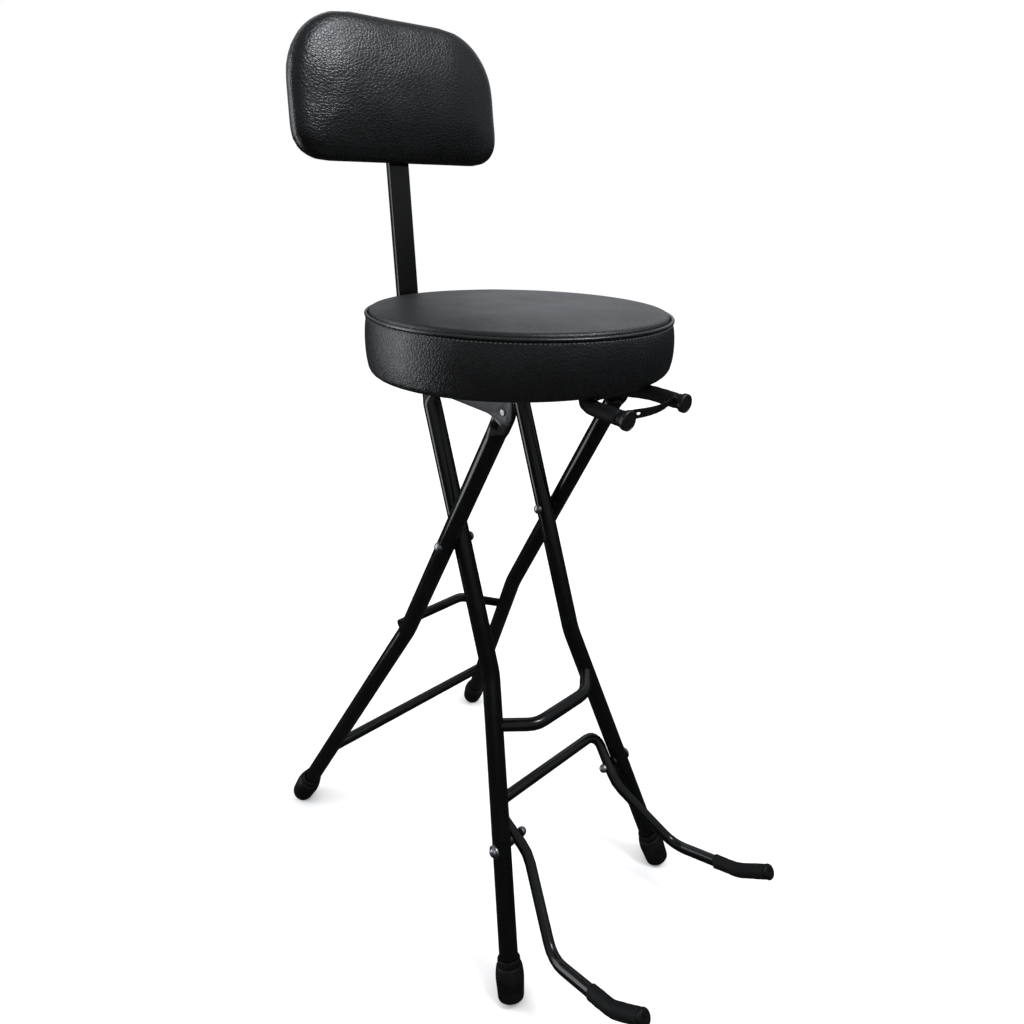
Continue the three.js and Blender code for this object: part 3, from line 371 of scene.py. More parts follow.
# a turned shape: profile of (radius, height) in millimetres, height along local Z
def spinProfile(bm, profile, steps):
    edge = []
    last = None
    for radius, height in profile:
        vert = bm.verts.new((radius * mm, 0, height * mm))
        if last:
            edge.append(bm.edges.new((last, vert)))
        last = vert
    bmesh.ops.spin(bm, geom=bm.verts[:] + edge, cent=(0, 0, 0), axis=(0, 0, 1), angle=2 * math.pi,
                   steps=steps, use_merge=True)


# a small mesh joins a larger one
def gather(bm, one):
    kept = bpy.data.meshes.new("part")
    one.to_mesh(kept)
    one.free()
    bm.from_mesh(kept)
    bpy.data.meshes.remove(kept)


def turnedMesh(name, parts, steps):
    bm = bmesh.new()
    for profile, place in parts:
        one = bmesh.new()
        spinProfile(one, profile, steps)
        merge(one, 1e-6)
        bmesh.ops.recalc_face_normals(one, faces=one.faces)
        one.transform(place)
        gather(bm, one)
    return meshOf(bm, name, False)


# rounded profile corners: each corner (radius, height, fillet) in millimetres
def softened(corners, steps=4):
    points = []
    for i, (r, h, fillet) in enumerate(corners):
        here = Vector((r, h))
        if not fillet or i in (0, len(corners) - 1):
            points.append((r, h))
            continue
        before = Vector(corners[i - 1][:2]) - here
        after = Vector(corners[i + 1][:2]) - here
        reach = min(fillet, before.length * 0.48, after.length * 0.48)
        first = here + before.normalized() * reach
        last = here + after.normalized() * reach
        for k in range(steps + 1):
            t = k / steps
            point = first * (1 - t) ** 2 + here * (2 * t * (1 - t)) + last * t ** 2
            points.append((point.x, point.y))
    return points


# the middle line of a bent rod: straight runs joined by arcs, given the pieces of a quarter turn
def bentPath(corners, radii, arcPieces):
    corners = [Vector(corner) for corner in corners]
    line = [corners[0]]
    for i in range(1, len(corners) - 1):
        before = (corners[i] - corners[i - 1]).normalized()
        after = (corners[i + 1] - corners[i]).normalized()
        turn = before.angle(after)
        if turn < 1e-4:
            continue
        radius = radii[i - 1]
        inward = (after - before * math.cos(turn)).normalized()
        start = corners[i] - before * radius * math.tan(turn / 2)
        centre = start + inward * radius
        steps = max(3, math.ceil(arcPieces * turn / (math.pi / 2)))
        for k in range(steps + 1):
            angle = turn * k / steps
            line.append(centre - inward * radius * math.cos(angle) + before * radius * math.sin(angle))
    line.append(corners[-1])
    return line


def spaced(line, step):
    points = [line[0]]
    for first, last in zip(line, line[1:]):
        count = max(1, round((last - first).length / step))
        points += [first.lerp(last, k / count) for k in range(1, count + 1)]
    return points


# a rod or sleeve along a path, as a bevelled curve turned into a mesh
def rodMesh(name, path, radius, place, endRounding, swell):
    curve = bpy.data.curves.new(name + "Curve", "CURVE")
    curve.dimensions = "3D"
    curve.bevel_depth = radius
    curve.bevel_resolution = 8
    curve.use_fill_caps = True
    total = sum((b - a).length for a, b in zip(path, path[1:]))
    along = 0.0
    stations = []
    for i, point in enumerate(path):
        if i:
            along += (point - path[i - 1]).length
        edge = min(along, total - along)
        narrowed = 1 - 0.3 * max(0, 1 - edge / endRounding) ** 2
        stations.append((point, narrowed * swell(along)))
    spline = curve.splines.new("POLY")
    spline.points.add(len(stations) - 1)
    for station, (point, share) in zip(spline.points, stations):
        station.co = (*point, 1)
        station.radius = share
    bm = shaped(newObject(name + "Holder", curve))
    bpy.data.curves.remove(curve)
    merge(bm, 1e-6)
    bm.transform(place)
    return meshOf(bm, name)


# each move becomes the mean of its neighbours' moves, over and over, so no lone dent stays
def calmed(mesh, moves, fixed, passes):
    near = [[] for _ in mesh.vertices]
    for edge in mesh.edges:
        first, last = edge.vertices
        near[first].append(last)
        near[last].append(first)
    loose = [i for i in range(len(moves)) if i not in fixed and near[i]]
    for _ in range(passes):
        means = {i: sum((moves[j] for j in near[i]), moves[i]) / (len(near[i]) + 1) for i in loose}
        moves = [means.get(i, move) for i, move in enumerate(moves)]
    return moves


# pressure from inside with the pinned points held, each point moved by the cap at most
def puffed(mesh, name, pinned, settings):
    obj = newObject(name, mesh)
    scene = bpy.context.scene
    rest = [vert.co.copy() for vert in mesh.vertices]
    group = obj.vertex_groups.new(name="held")
    held = [i for i, point in enumerate(rest) if pinned(point)]
    group.add(held, 1.0, "REPLACE")
    cloth = obj.modifiers.new("Cloth", "CLOTH")
    cloth.settings.quality = settings["quality"]
    cloth.settings.mass = settings["mass"]
    for kind in ("tension", "compression", "shear"):
        setattr(cloth.settings, kind + "_stiffness", settings["stiffness"])
    cloth.settings.bending_stiffness = settings["bending"]
    cloth.settings.use_pressure = True
    cloth.settings.uniform_pressure_force = settings["pressure"]
    cloth.settings.vertex_group_mass = group.name
    cloth.settings.effector_weights.gravity = 0
    cloth.point_cache.frame_start = 1
    cloth.point_cache.frame_end = settings["frames"]
    for number in range(1, settings["frames"] + 1):
        scene.frame_set(number)
    swollenObject = obj.evaluated_get(bpy.context.evaluated_depsgraph_get())
    swollen = [vert.co.copy() for vert in swollenObject.data.vertices]
    obj.modifiers.remove(cloth)
    obj.vertex_groups.clear()
    moves = [after - before for before, after in zip(rest, swollen)]
    moves = [move * min(1, settings["cap"] / max(move.length, 1e-9)) for move in moves]
    moves = calmed(mesh, moves, set(held), settings["calm"])
    for vert, before, move in zip(mesh.vertices, rest, moves):
        vert.co = before + move
    scene.frame_set(1)
    bpy.data.objects.remove(obj)
    return mesh


# seat cushion
seat = {
    "radius": 170, "height": 60, "shoulder": 65.2, "crown": 72.2, "crownBend": 2.2, "foot": 9, "sag": 1.5,
    "board": 152.3, "recess": 12.3, "steps": 176, "bulge": 2.3, "bulgeBend": 0.8, "bandGap": 3.4,
    "seam": ((0.8, -2.6), (2.2, -1.5), (3.0, -0.3), (3.3, 0.7)), "roll": 4.6, "rollFoot": 1.2,
    "footPieces": 6, "bandPieces": 11, "rollPieces": 7, "crownPieces": 20,
    "skew": {"rise": 0.004, "heading": (0.73, -0.68), "from": 0.008, "over": 0.05},
    "sim": {"quality": 6, "mass": 0.3, "stiffness": 14, "bending": 0.6, "pressure": 4, "frames": 16,
            "cap": 0.0012, "calm": 4},
    "puckers": {"count": 58, "depth": 0.0006, "drift": 3, "driftScale": 30, "foot": (4, 6), "seam": (53, 4),
                "fineCount": 2.7, "fineShare": 0.28},
    "soft": 0.0006, "softScale": 26,
}


# from the middle of the underside round to the middle of the top
def seatProfile():
    rim, top, foot, low = seat["radius"], seat["height"], seat["foot"], -seat["sag"]
    board, recess = seat["board"], seat["recess"]
    points = [(0.001, recess)]
    points += [(board * k / 6, recess) for k in range(1, 6)]
    points += [(board, recess), (board, 6), (board, 0), (153.6, low * 0.7), (157, low)]
    # rolled lower edge
    for k in range(seat["footPieces"] + 1):
        angle = math.radians(90 * k / seat["footPieces"])
        points.append((rim - foot + foot * math.sin(angle), low + (foot - low) * (1 - math.cos(angle))))
    # side band, a little full, up to the seam
    bandTop = top - seat["bandGap"]
    for k in range(1, seat["bandPieces"] + 1):
        t = k / seat["bandPieces"]
        bulge = seat["bulge"] * math.sin(math.pi * t) ** seat["bulgeBend"]
        points.append((rim + bulge, foot + (bandTop - foot) * t))
    points += [(rim - inset, top + rise) for inset, rise in seat["seam"]]
    # the top panel rolls over from the seam, then crowns
    seamRim = rim - seat["seam"][-1][0]
    rollFoot = top + seat["rollFoot"]
    rise = seat["shoulder"] - rollFoot
    for k in range(1, seat["rollPieces"] + 1):
        angle = math.radians(90 * k / seat["rollPieces"])
        points.append((seamRim - seat["roll"] * (1 - math.cos(angle)), rollFoot + rise * math.sin(angle)))
    edge = seamRim - seat["roll"]
    for k in range(1, seat["crownPieces"] + 1):
        t = k / seat["crownPieces"]
        crown = (seat["crown"] - seat["shoulder"]) * (1 - (1 - t) ** seat["crownBend"])
        points.append((max(edge * (1 - t), 0.001), seat["shoulder"] + crown))
    return points


# the padding sits a little higher towards the left rear than towards the right front
def seatSkew(x, y, z):
    skew = seat["skew"]
    share = min(max((z - skew["from"]) / skew["over"], 0), 1)
    offset = skew["heading"][0] * x + skew["heading"][1] * y
    return -share * skew["rise"] * offset / (seat["radius"] * mm)


# the underside, the board's recess and the seam stay put while the cover swells
def seatHeld(point):
    r = math.hypot(point.x, point.y) / mm
    z = point.z / mm
    atSeam = r > seat["radius"] - 10 and seat["height"] - 4.5 < z < seat["height"] + 5.2
    return z < 8 or atSeam or (r < 158 and z < seat["recess"] + 2)


def makeSeatCover():
    bm = bmesh.new()
    spinProfile(bm, seatProfile(), seat["steps"])
    merge(bm, 2e-5)
    mesh = puffed(meshOf(bm, "seatCover"), "seatForm", seatHeld, seat["sim"])
    puckers = seat["puckers"]
    for vert in mesh.vertices:
        x, y, z = vert.co
        r = math.hypot(x, y)
        height = z / mm
        softly = noise.noise(Vector((x, y, z)) * seat["softScale"]) * seat["soft"]
        if height > seat["height"] + 4 and r < 0.157:
            vert.co.z += softly
        if r > 0.155 and height < seat["height"] + 2:
            out = Vector((x / r, y / r, 0))
            if 6 < height < seat["height"] - 5:
                vert.co += out * softly
            # gathers where the band is drawn under, and small ones below the seam
            drift = noise.noise(Vector((x, y, 0)) * puckers["driftScale"]) * puckers["drift"]
            swing = puckers["count"] * math.atan2(y, x) + drift
            nearFoot, nearSeam = (math.exp(-((height - middle) / reach) ** 2)
                                  for middle, reach in (puckers["foot"], puckers["seam"]))
            fine = math.sin(swing * puckers["fineCount"]) * puckers["fineShare"]
            vert.co += out * (math.sin(swing) * 0.5 - 0.5) * puckers["depth"] * nearFoot
            vert.co += out * fine * puckers["depth"] * nearSeam
        vert.co.z += seatSkew(x, y, z)
    mesh.transform(seatPlace)
    cover = piece("seatCover", mesh, "vinyl", "seat", ["seat_cushion"])
    addModifier(cover, "SUBSURF", levels=1, render_levels=1)


makeSeatCover()
print("seat cushion done")

# piping along the seam, with its stitches
piping = {"ring": 169.6, "height": 59.6, "radius": 1.9, "sides": 10, "steps": 288,
          "ripples": 118, "rippleShare": 0.07, "lumpScale": 300, "lumpShare": 0.05,
          "stitches": 236, "stitchLength": 2.7, "stitchRadius": 0.4, "stitchDrop": 3.8, "stitchOut": 0.35,
          "stitchTilt": 0.12}


def makePiping():
    bm = bmesh.new()
    bmesh.ops.create_circle(bm, segments=piping["sides"], radius=piping["radius"] * mm,
                            matrix=shifted(piping["ring"], 0, piping["height"]) @ turned(math.pi / 2, "X"))
    bmesh.ops.spin(bm, geom=bm.verts[:] + bm.edges[:], cent=(0, 0, 0), axis=(0, 0, 1), angle=2 * math.pi,
                   steps=piping["steps"], use_merge=True)
    merge(bm, 1e-6)
    for vert in bm.verts:
        angle = math.atan2(vert.co.y, vert.co.x)
        middle = Vector((math.cos(angle), math.sin(angle), 0)) * piping["ring"] * mm
        middle.z = piping["height"] * mm
        ripple = piping["rippleShare"] * math.sin(piping["ripples"] * angle)
        lump = piping["lumpShare"] * noise.noise(vert.co * piping["lumpScale"])
        vert.co = middle + (vert.co - middle) * (1 + ripple + lump)
        vert.co.z += seatSkew(*vert.co)
    mesh = meshOf(bm, "seatPiping")
    mesh.transform(seatPlace)
    piece("seatPiping", mesh, "piping", "seat", ["seat_welt"])


def makeStitches():
    bm = bmesh.new()
    radius = seat["radius"] + piping["stitchOut"]
    thick = piping["stitchRadius"] * mm
    stretch = piping["stitchLength"] / (2 * piping["stitchRadius"])
    for k in range(piping["stitches"]):
        place = (turned(2 * math.pi * k / piping["stitches"], "Z")
                 @ shifted(radius, 0, seat["height"] - piping["stitchDrop"])
                 @ turned(piping["stitchTilt"], "X") @ Matrix.Diagonal((1, stretch, 1, 1)))
        bmesh.ops.create_uvsphere(bm, u_segments=6, v_segments=5, radius=thick, matrix=place)
    for vert in bm.verts:
        vert.co.z += seatSkew(*vert.co)
    mesh = meshOf(bm, "seatStitches")
    mesh.transform(seatPlace)
    piece("seatStitches", mesh, "thread", "seat")


makePiping()
makeStitches()
print("piping and stitches done")

# vinyl turned under the board, tacked down with staples
tack = {"inner": 143, "outer": 157, "thickness": 0.7, "steps": 132, "wave": 0.0016, "waves": 9,
        "staples": 44, "stapleRing": 147.5, "stapleDrift": 2, "stapleTurn": 0.5, "leg": 9, "wire": 0.6}


def makeTurnUnder():
    low = -seat["sag"]
    profile = [(tack["inner"], -0.2), (tack["inner"] + 0.6, -tack["thickness"]), (151, -tack["thickness"]),
               (154, low - 0.3), (tack["outer"], low - 0.2), (tack["outer"], low + 0.4), (154, low + 0.4),
               (151.5, -0.1), (tack["inner"], -0.2)]
    mesh = turnedMesh("seatTurnUnder", [(profile, seatPlace)], tack["steps"])
    for vert in mesh.vertices:
        offset = vert.co - seatMiddle
        if math.hypot(offset.x, offset.y) < 0.149:
            heading = Vector((offset.x, offset.y, 0)).normalized()
            vert.co += heading * tack["wave"] * noise.noise(heading * tack["waves"])
    piece("seatTurnUnder", mesh, "vinyl", "seat")


makeTurnUnder()


def stapleMesh(name, places, length, wire):
    bm = bmesh.new()
    for place in places:
        one = bmesh.new()
        bmesh.ops.create_cube(one, size=1)
        bmesh.ops.scale(one, verts=one.verts, vec=millimetres(length, wire, wire))
        bmesh.ops.bevel(one, geom=one.edges[:], offset=wire * 0.25 * mm, segments=2, profile=0.5,
                        affect="EDGES", material=-1)
        one.transform(place)
        gather(bm, one)
    return meshOf(bm, name)


def makeSeatStaples():
    draw = random.Random(7)
    places = []
    for k in range(tack["staples"]):
        angle = 2 * math.pi * (k + 0.3 * draw.random()) / tack["staples"]
        reach = tack["stapleRing"] + draw.random() * tack["stapleDrift"]
        askew = draw.uniform(-tack["stapleTurn"], tack["stapleTurn"])
        places.append(seatPlace @ turned(angle, "Z") @ shifted(reach, 0, -tack["thickness"])
                      @ turned(math.pi / 2 + askew, "Z"))
    piece("seatStaples", stapleMesh("seatStaples", places, tack["leg"], tack["wire"]), "chrome", "seat")


makeSeatStaples()
print("underside done")

# a CAD piece made fine enough for soft edges: merged, remeshed in small voxels, smoothed
def fineCopy(node, voxel, passes, place, cutter=None, movable=None):
    bm = bmesh.new()
    bm.from_mesh(nodes[node].data)
    merge(bm, 1e-5)
    bm.transform(place.inverted())
    holder = newObject(node + "Holder", meshOf(bm, node + "Rough"))
    if cutter:
        addModifier(holder, "BOOLEAN", object=cutter, operation="DIFFERENCE", solver="EXACT")
    addModifier(holder, "REMESH", mode="VOXEL", voxel_size=voxel)
    bm = shaped(holder)
    for _ in range(passes):
        bmesh.ops.smooth_vert(bm, verts=[v for v in bm.verts if not movable or movable(v.co)], factor=0.5,
                              use_axis_x=True, use_axis_y=True, use_axis_z=True)
    return meshOf(bm, node + "Fine")


# backrest pad
pad = {
    "rise": 310.5, "voxel": 0.004, "rear": -5.3, "halfWidth": 150, "halfHeight": 82.5, "topCorner": 77,
    "bottomCorner": 36, "taper": 0.03, "soft": 0.0006, "softScale": 24, "smoothing": 14,
    "regain": (1.014, 1, 1.028), "smoothFrom": 3, "looseFrom": 10,
    "sim": {"quality": 5, "mass": 0.3, "stiffness": 14, "bending": 0.5, "pressure": 4, "frames": 16,
            "cap": 0.0022, "calm": 60},
    "flapOuter": 4, "flapInner": 25, "flapThickness": 0.24, "staples": 40, "stapleInset": 17,
    "stapleWire": 0.6, "stapleTurn": 0.25, "post": 19, "postTop": 60,
}
padPlace = backPlace @ Matrix.Translation((0, 0, pad["rise"] * mm))


# smoothing leaves the flat rear alone, and the cloth is held along the board's edge
def padSmooths(point):
    return point.y < (pad["rear"] - pad["smoothFrom"]) * mm


def padHeld(point):
    return point.y > (pad["rear"] - pad["looseFrom"]) * mm


def makePadCover():
    mesh = fineCopy("backrest_pad", pad["voxel"], pad["smoothing"], padPlace, movable=padSmooths)
    mesh.transform(Matrix.Diagonal((*pad["regain"], 1)))  # smoothing draws the form in
    mesh = puffed(mesh, "padForm", padHeld, pad["sim"])
    for vert in mesh.vertices:
        if not padHeld(vert.co):
            vert.co.y += noise.noise(vert.co * pad["softScale"]) * pad["soft"]
    mesh.transform(padPlace)
    cover = piece("padCover", mesh, "padVinyl", "backrest", ["backrest_pad"])
    addModifier(cover, "SUBSURF", levels=1, render_levels=1)


# a flat outline becomes a hollow ring with this wall, then gets its depth
def hollowed(bm, wall, depth):
    inner = bm.faces[:]
    bmesh.ops.inset_region(bm, faces=inner, thickness=wall * mm, use_even_offset=True,
                           use_boundary=True)
    bmesh.ops.delete(bm, geom=inner, context="FACES")
    made = bmesh.ops.extrude_face_region(bm, geom=bm.faces[:])
    far = [item for item in made["geom"] if isinstance(item, bmesh.types.BMVert)]
    bmesh.ops.translate(bm, verts=far, vec=depth)


# the pad's outline from behind, drawn in by an inset, in millimetres
def padOutline(inset, steps=14):
    line = []
    corners = ((1, 1, pad["topCorner"]), (-1, 1, pad["topCorner"]), (-1, -1, pad["bottomCorner"]),
               (1, -1, pad["bottomCorner"]))
    for number, (across, up, corner) in enumerate(corners):
        radius = max(corner - inset, corner / 4)
        for k in range(steps + 1):
            angle = (number + k / steps) * math.pi / 2
            x = across * (pad["halfWidth"] - inset - radius) + radius * math.cos(angle)
            z = up * (pad["halfHeight"] - inset - radius) + radius * math.sin(angle)
            line.append((x * (1 - pad["taper"] * (0.5 + z / (2 * pad["halfHeight"]))), z))
    return line


def makePadFlap():
    bm = bmesh.new()
    for x, z in padOutline(pad["flapOuter"]):
        bm.verts.new((x * mm, pad["rear"] * mm, z * mm))
    bm.faces.new(bm.verts[:])
    hollowed(bm, pad["flapInner"] - pad["flapOuter"], millimetres(0, pad["flapThickness"], 0))
    mesh = meshOf(bm, "padFlap")
    mesh.transform(padPlace)
    flap = piece("padFlap", mesh, "padVinyl", "backrest")
    keepEdges(flap, 50)


def makePadStaples():
    line = padOutline(pad["stapleInset"], 8)
    line.append(line[0])
    lengths = [math.dist(a, b) for a, b in zip(line, line[1:])]
    gap = sum(lengths) / pad["staples"]
    places = []
    along = gap / 2
    for (first, last), length in zip(zip(line, line[1:]), lengths):
        while along < length:
            x = first[0] + (last[0] - first[0]) * along / length
            z = first[1] + (last[1] - first[1]) * along / length
            heading = math.atan2(last[1] - first[1], last[0] - first[0])
            along += gap
            if abs(x) > pad["post"] or z > pad["postTop"]:
                askew = pad["stapleTurn"] * math.sin(x)
                places.append(padPlace @ shifted(x, pad["rear"] + pad["flapThickness"], z)
                              @ turned(askew - heading, "Y"))
        along -= length
    mesh = stapleMesh("padStaples", places, tack["leg"], pad["stapleWire"])
    piece("padStaples", mesh, "chrome", "backrest")


makePadCover()
makePadFlap()
makePadStaples()
print("backrest pad done")

# the post and its socket: bent sheet tube with rounded corners, half sizes and heights in millimetres
post = {"half": (15, 5), "wall": 1.5, "corner": 2.2, "low": -63, "high": 366, "cornerPieces": 5}
socket = {"half": (17.9, 7.9), "wall": 2.5, "corner": 3.2, "low": -67, "high": 6, "knobHeight": -20,
          "bossRadius": 7, "bossBore": 3.9, "bossReach": 12.9}


def rectangleTube(name, look):
    bm = bmesh.new()
    bmesh.ops.create_grid(bm, x_segments=1, y_segments=1, size=1)
    bmesh.ops.scale(bm, verts=bm.verts, vec=millimetres(*look["half"], 0))
    bmesh.ops.bevel(bm, geom=bm.verts[:], offset=look["corner"] * mm, segments=post["cornerPieces"],
                    profile=0.5, affect="VERTICES", material=-1)
    bm.transform(shifted(0, 0, look["low"]))
    hollowed(bm, look["wall"], millimetres(0, 0, look["high"] - look["low"]))
    return meshOf(bm, name)


def makePost():
    mesh = rectangleTube("postTube", post)
    mesh.transform(backPlace)
    tube = piece("postTube", mesh, "paint", "backrest", ["backrest_post"])
    keepEdges(tube, 40)


def makeSocket():
    start, bore, radius, reach = (socket["half"][1] - 0.4, socket["bossBore"], socket["bossRadius"],
                                  socket["bossReach"])
    boss = [(bore, start), (radius + 1.2, start), (radius, start + 1.4), (radius, reach - 0.6),
            (radius - 0.6, reach), (bore, reach), (bore, start)]
    bossPlace = shifted(0, 0, socket["knobHeight"]) @ turned(-math.pi / 2, "X")
    bm = bmesh.new()
    for mesh in (rectangleTube("socketTube", socket), turnedMesh("boss", [(boss, bossPlace)], 40)):
        bm.from_mesh(mesh)
        bpy.data.meshes.remove(mesh)
    mesh = meshOf(bm, "postSocketTube")
    mesh.transform(backPlace)
    tube = piece("postSocketTube", mesh, "paint", "seat", ["post_socket"])
    keepEdges(tube, 40)


makePost()
makeSocket()
print("post and socket done")

# foam sleeves over the yoke rod and the cradle arms
yoke = {"half": 45, "depth": 71, "bend": 40, "start": 6.0, "foam": 8, "rounding": 0.0018, "cap": 10,
        "capThickness": 5, "waves": ((0.012, 190, 0), (0.01, 520, 1))}
cradle = {"valley": (110, -89, -79), "elbow": (115.5, -176.5, -55), "tip": (115.5, -212, -29), "bend": 40,
          "sleeve": 76, "foam": 7.9, "rounding": 0.0014, "cap": 8.3, "capThickness": 4, "gap": 0.3,
          "waves": ((0.012, 210, 1), (0.008, 560, 0))}
foam = {"step": 0.002, "bendPieces": 16}


# foam swells and narrows a little along its way; each wave is its share, pace and start
def foamMesh(name, look, corners, place, side=1):
    def swell(along):
        return 1 + sum(share * math.sin(along * pace + start * side) for share, pace, start in look["waves"])

    bends = [look["bend"] * mm] * (len(corners) - 2)
    path = spaced(bentPath(corners, bends, foam["bendPieces"]), foam["step"])
    return rodMesh(name, path, look["foam"] * mm, place, look["rounding"], swell)


def makeYokeSleeve():
    corners = [millimetres(-yoke["half"], yoke["start"], 0), millimetres(-yoke["half"], yoke["depth"], 0),
               millimetres(yoke["half"], yoke["depth"], 0), millimetres(yoke["half"], yoke["start"], 0)]
    mesh = foamMesh("yokeFoam", yoke, corners, yokePlace)
    piece("yokeFoam", mesh, "foam", "seat", ["yoke_sleeve"])


def cradlePoint(name, side):
    x, y, z = cradle[name]
    return millimetres(side * x, y, z)


def makeCradleSleeve(side, word):
    valley, elbow, tip = (cradlePoint(name, side) for name in ("valley", "elbow", "tip"))
    rest = cradle["sleeve"] * mm - (tip - elbow).length
    start = elbow + (valley - elbow).normalized() * rest
    mesh = foamMesh("cradleFoam" + word, cradle, [start, elbow, tip], cradlePlace, side)
    piece("cradleFoam" + word, mesh, "foam", "cradle", ["cradle_sleeve_" + word.lower()])


makeYokeSleeve()
for side, word in sides:
    makeCradleSleeve(side, word)
print("foam sleeves done")


# a turned plastic or rubber piece with soft edges, standing for its CAD node
def turnedPiece(name, corners, place, finish, body, node):
    mesh = turnedMesh(name, [(softened(corners), place)], 56)
    piece(name, mesh, finish, body, [node])


# end caps: a raised rim round a flat face on the yoke, a soft button with a dimple on the cradle
def makeCaps():
    r, t = yoke["cap"], yoke["capThickness"]
    disc = [(0, 0, 0), (r - 0.4, 0, 0), (r, 0.4, 0.4), (r, t - 0.9, 0.5), (r - 0.9, t, 0.4),
            (r - 1.5, t, 0.3), (r - 1.9, t - 0.6, 0.3), (r * 0.4, t - 0.5, 0), (0, t - 0.45, 0)]
    front = turned(math.pi / 2, "X")
    for side, word in sides:
        place = yokePlace @ shifted(side * yoke["half"], -cradle["gap"], 0) @ front
        turnedPiece("yokeDisc" + word, disc, place, "plastic", "seat", "yoke_cap_" + word.lower())
    r, t = cradle["cap"], cradle["capThickness"]
    button = [(0, 0, 0), (r - 0.5, 0, 0.2), (r, 0.5, 0.4), (r, t * 0.45, 0.9), (r * 0.93, t * 0.8, 0.9),
              (r * 0.72, t, 1.2), (r * 0.16, t, 0.5), (r * 0.1, t - 0.9, 0.3), (0, t - 1, 0)]
    for side, word in sides:
        tip = cradlePoint("tip", side)
        heading = (tip - cradlePoint("elbow", side)).normalized()
        turn = heading.to_track_quat("Z", "X").to_matrix().to_4x4()
        place = cradlePlace @ Matrix.Translation(tip + heading * cradle["gap"] * mm) @ turn
        turnedPiece("cradleButton" + word, button, place, "rubber", "cradle", "cradle_cap_" + word.lower())


makeCaps()
print("end caps done")

# the yoke's rubber strap, with the slot near its tall end
strap = {"voxel": 0.0006, "passes": 3, "slotX": -27, "slotLength": 11, "slotHeight": 2.6, "slotZ": 1.6,
         "slotCorner": 1.1, "reach": 60, "bowBack": 5.7, "bowShare": 0.4, "bowBlend": 6}


def makeStrap():
    bm = bmesh.new()
    bmesh.ops.create_cube(bm, size=1)
    bmesh.ops.scale(bm, verts=bm.verts,
                    vec=millimetres(strap["slotLength"], strap["reach"], strap["slotHeight"]))
    upright = [edge for edge in bm.edges if abs(edge.verts[0].co.y - edge.verts[1].co.y) > 0.001]
    bmesh.ops.bevel(bm, geom=upright, offset=strap["slotCorner"] * mm, segments=4, profile=0.5,
                    affect="EDGES", material=-1)
    bm.transform(shifted(strap["slotX"], -strap["reach"] / 2 - 2, strap["slotZ"]))
    cutter = newObject("slotCutter", meshOf(bm, "slotCutter"))
    mesh = fineCopy("neck_strap", strap["voxel"], strap["passes"], yokePlace, cutter)
    bpy.data.objects.remove(cutter)
    # the bow in front of the sleeves is drawn straighter
    for vert in mesh.vertices:
        ahead = vert.co.y - strap["bowBack"] * mm
        if ahead < 0 and abs(vert.co.x) < (yoke["half"] - yoke["foam"]) * mm:
            blend = min(1, -ahead / (strap["bowBlend"] * mm))
            vert.co.y -= ahead * (1 - strap["bowShare"]) * blend
    mesh.transform(yokePlace)
    piece("yokeStrap", mesh, "rubber", "strap", ["neck_strap"])


makeStrap()
print("strap done")

# bolt heads and cap nuts, in millimetres: at gives the distance from the middle and the drop below the
# crossing, size gives radius, height and skirt
domes = {
    "crossing_bolt": {"at": (102.5, 0), "out": 1, "size": (6, 4, 5), "place": rearPlace,
                      "body": "rear_frame"},
    "crossing_nut": {"at": (57.4, 0), "out": -1, "size": (6, 5.4, 0.6), "place": rearPlace,
                     "body": "rear_frame"},
    "cradle_bolt": {"at": (117.1, 351), "out": 1, "size": (5.4, 4, 2.5), "place": frontPlace,
                    "body": "front_frame"},
    "cradle_nut": {"at": (74.6, 351), "out": -1, "size": (5.4, 7, 0), "place": frontPlace,
                   "body": "front_frame"},
}


# the round of a head, as shares of its radius and height
domeCurve = ((1, 0.16), (0.97, 0.32), (0.88, 0.55), (0.72, 0.75), (0.48, 0.91), (0.22, 0.98), (0, 1))


def makeDomes():
    for node, look in domes.items():
        r, h, skirt = look["size"]
        profile = [(0, -skirt), (r, -skirt)] + [(r * across, h * up) for across, up in domeCurve]
        rim = [(0, -skirt), (r + 2, -skirt), (r + 2, -0.5), (r + 1.7, 0), (0, 0)]
        for side, word in sides:
            place = (look["place"] @ shifted(side * look["at"][0], 0, -look["at"][1])
                     @ turned(side * look["out"] * math.pi / 2, "Y"))
            parts = [(profile, place)]
            if node == "cradle_bolt":
                parts.append((rim, place))
            name = node.title().replace("_", "")
            mesh = turnedMesh(name, parts, 40)
            head = piece(name[0].lower() + name[1:] + word, mesh, "dull", look["body"],
                         [node + "_" + word.lower()])
            keepEdges(head, 45)


makeDomes()
print("bolt heads done")

# rubber feet, pressed flat where they meet the floor
foot = {
    "length": 42, "collar": 13.2, "collarLength": 7, "waist": 14.4, "barrel": 16.4, "widest": 0.58,
    "sole": 5.7, "bore": 11.1, "press": 1.2, "toe": ((15, 6), (14.85, 3), (14.4, 1.08), (12.9, 0)),
    "plans": {"rear": {"half": 91.7, "foot": 166, "bend": 172, "place": rearPlace},
              "front": {"half": 68.5, "foot": 135, "bend": 163, "place": frontPlace}},
}


def footPlace(end, side):
    plan = foot["plans"][end]
    drop = crossing.z / mm / math.cos(lean[end])
    flare = math.atan2(plan["foot"] - plan["half"], drop - plan["bend"])
    tilt = math.acos(math.cos(lean[end]) * math.cos(flare))
    lowest = min(h * math.cos(tilt) - r * math.sin(tilt) for r, h in foot["toe"])
    lift = (-foot["press"] - lowest) / math.cos(tilt)
    return (plan["place"] @ shifted(side * plan["foot"], 0, -drop) @ turned(-side * flare, "Y")
            @ shifted(0, 0, lift))


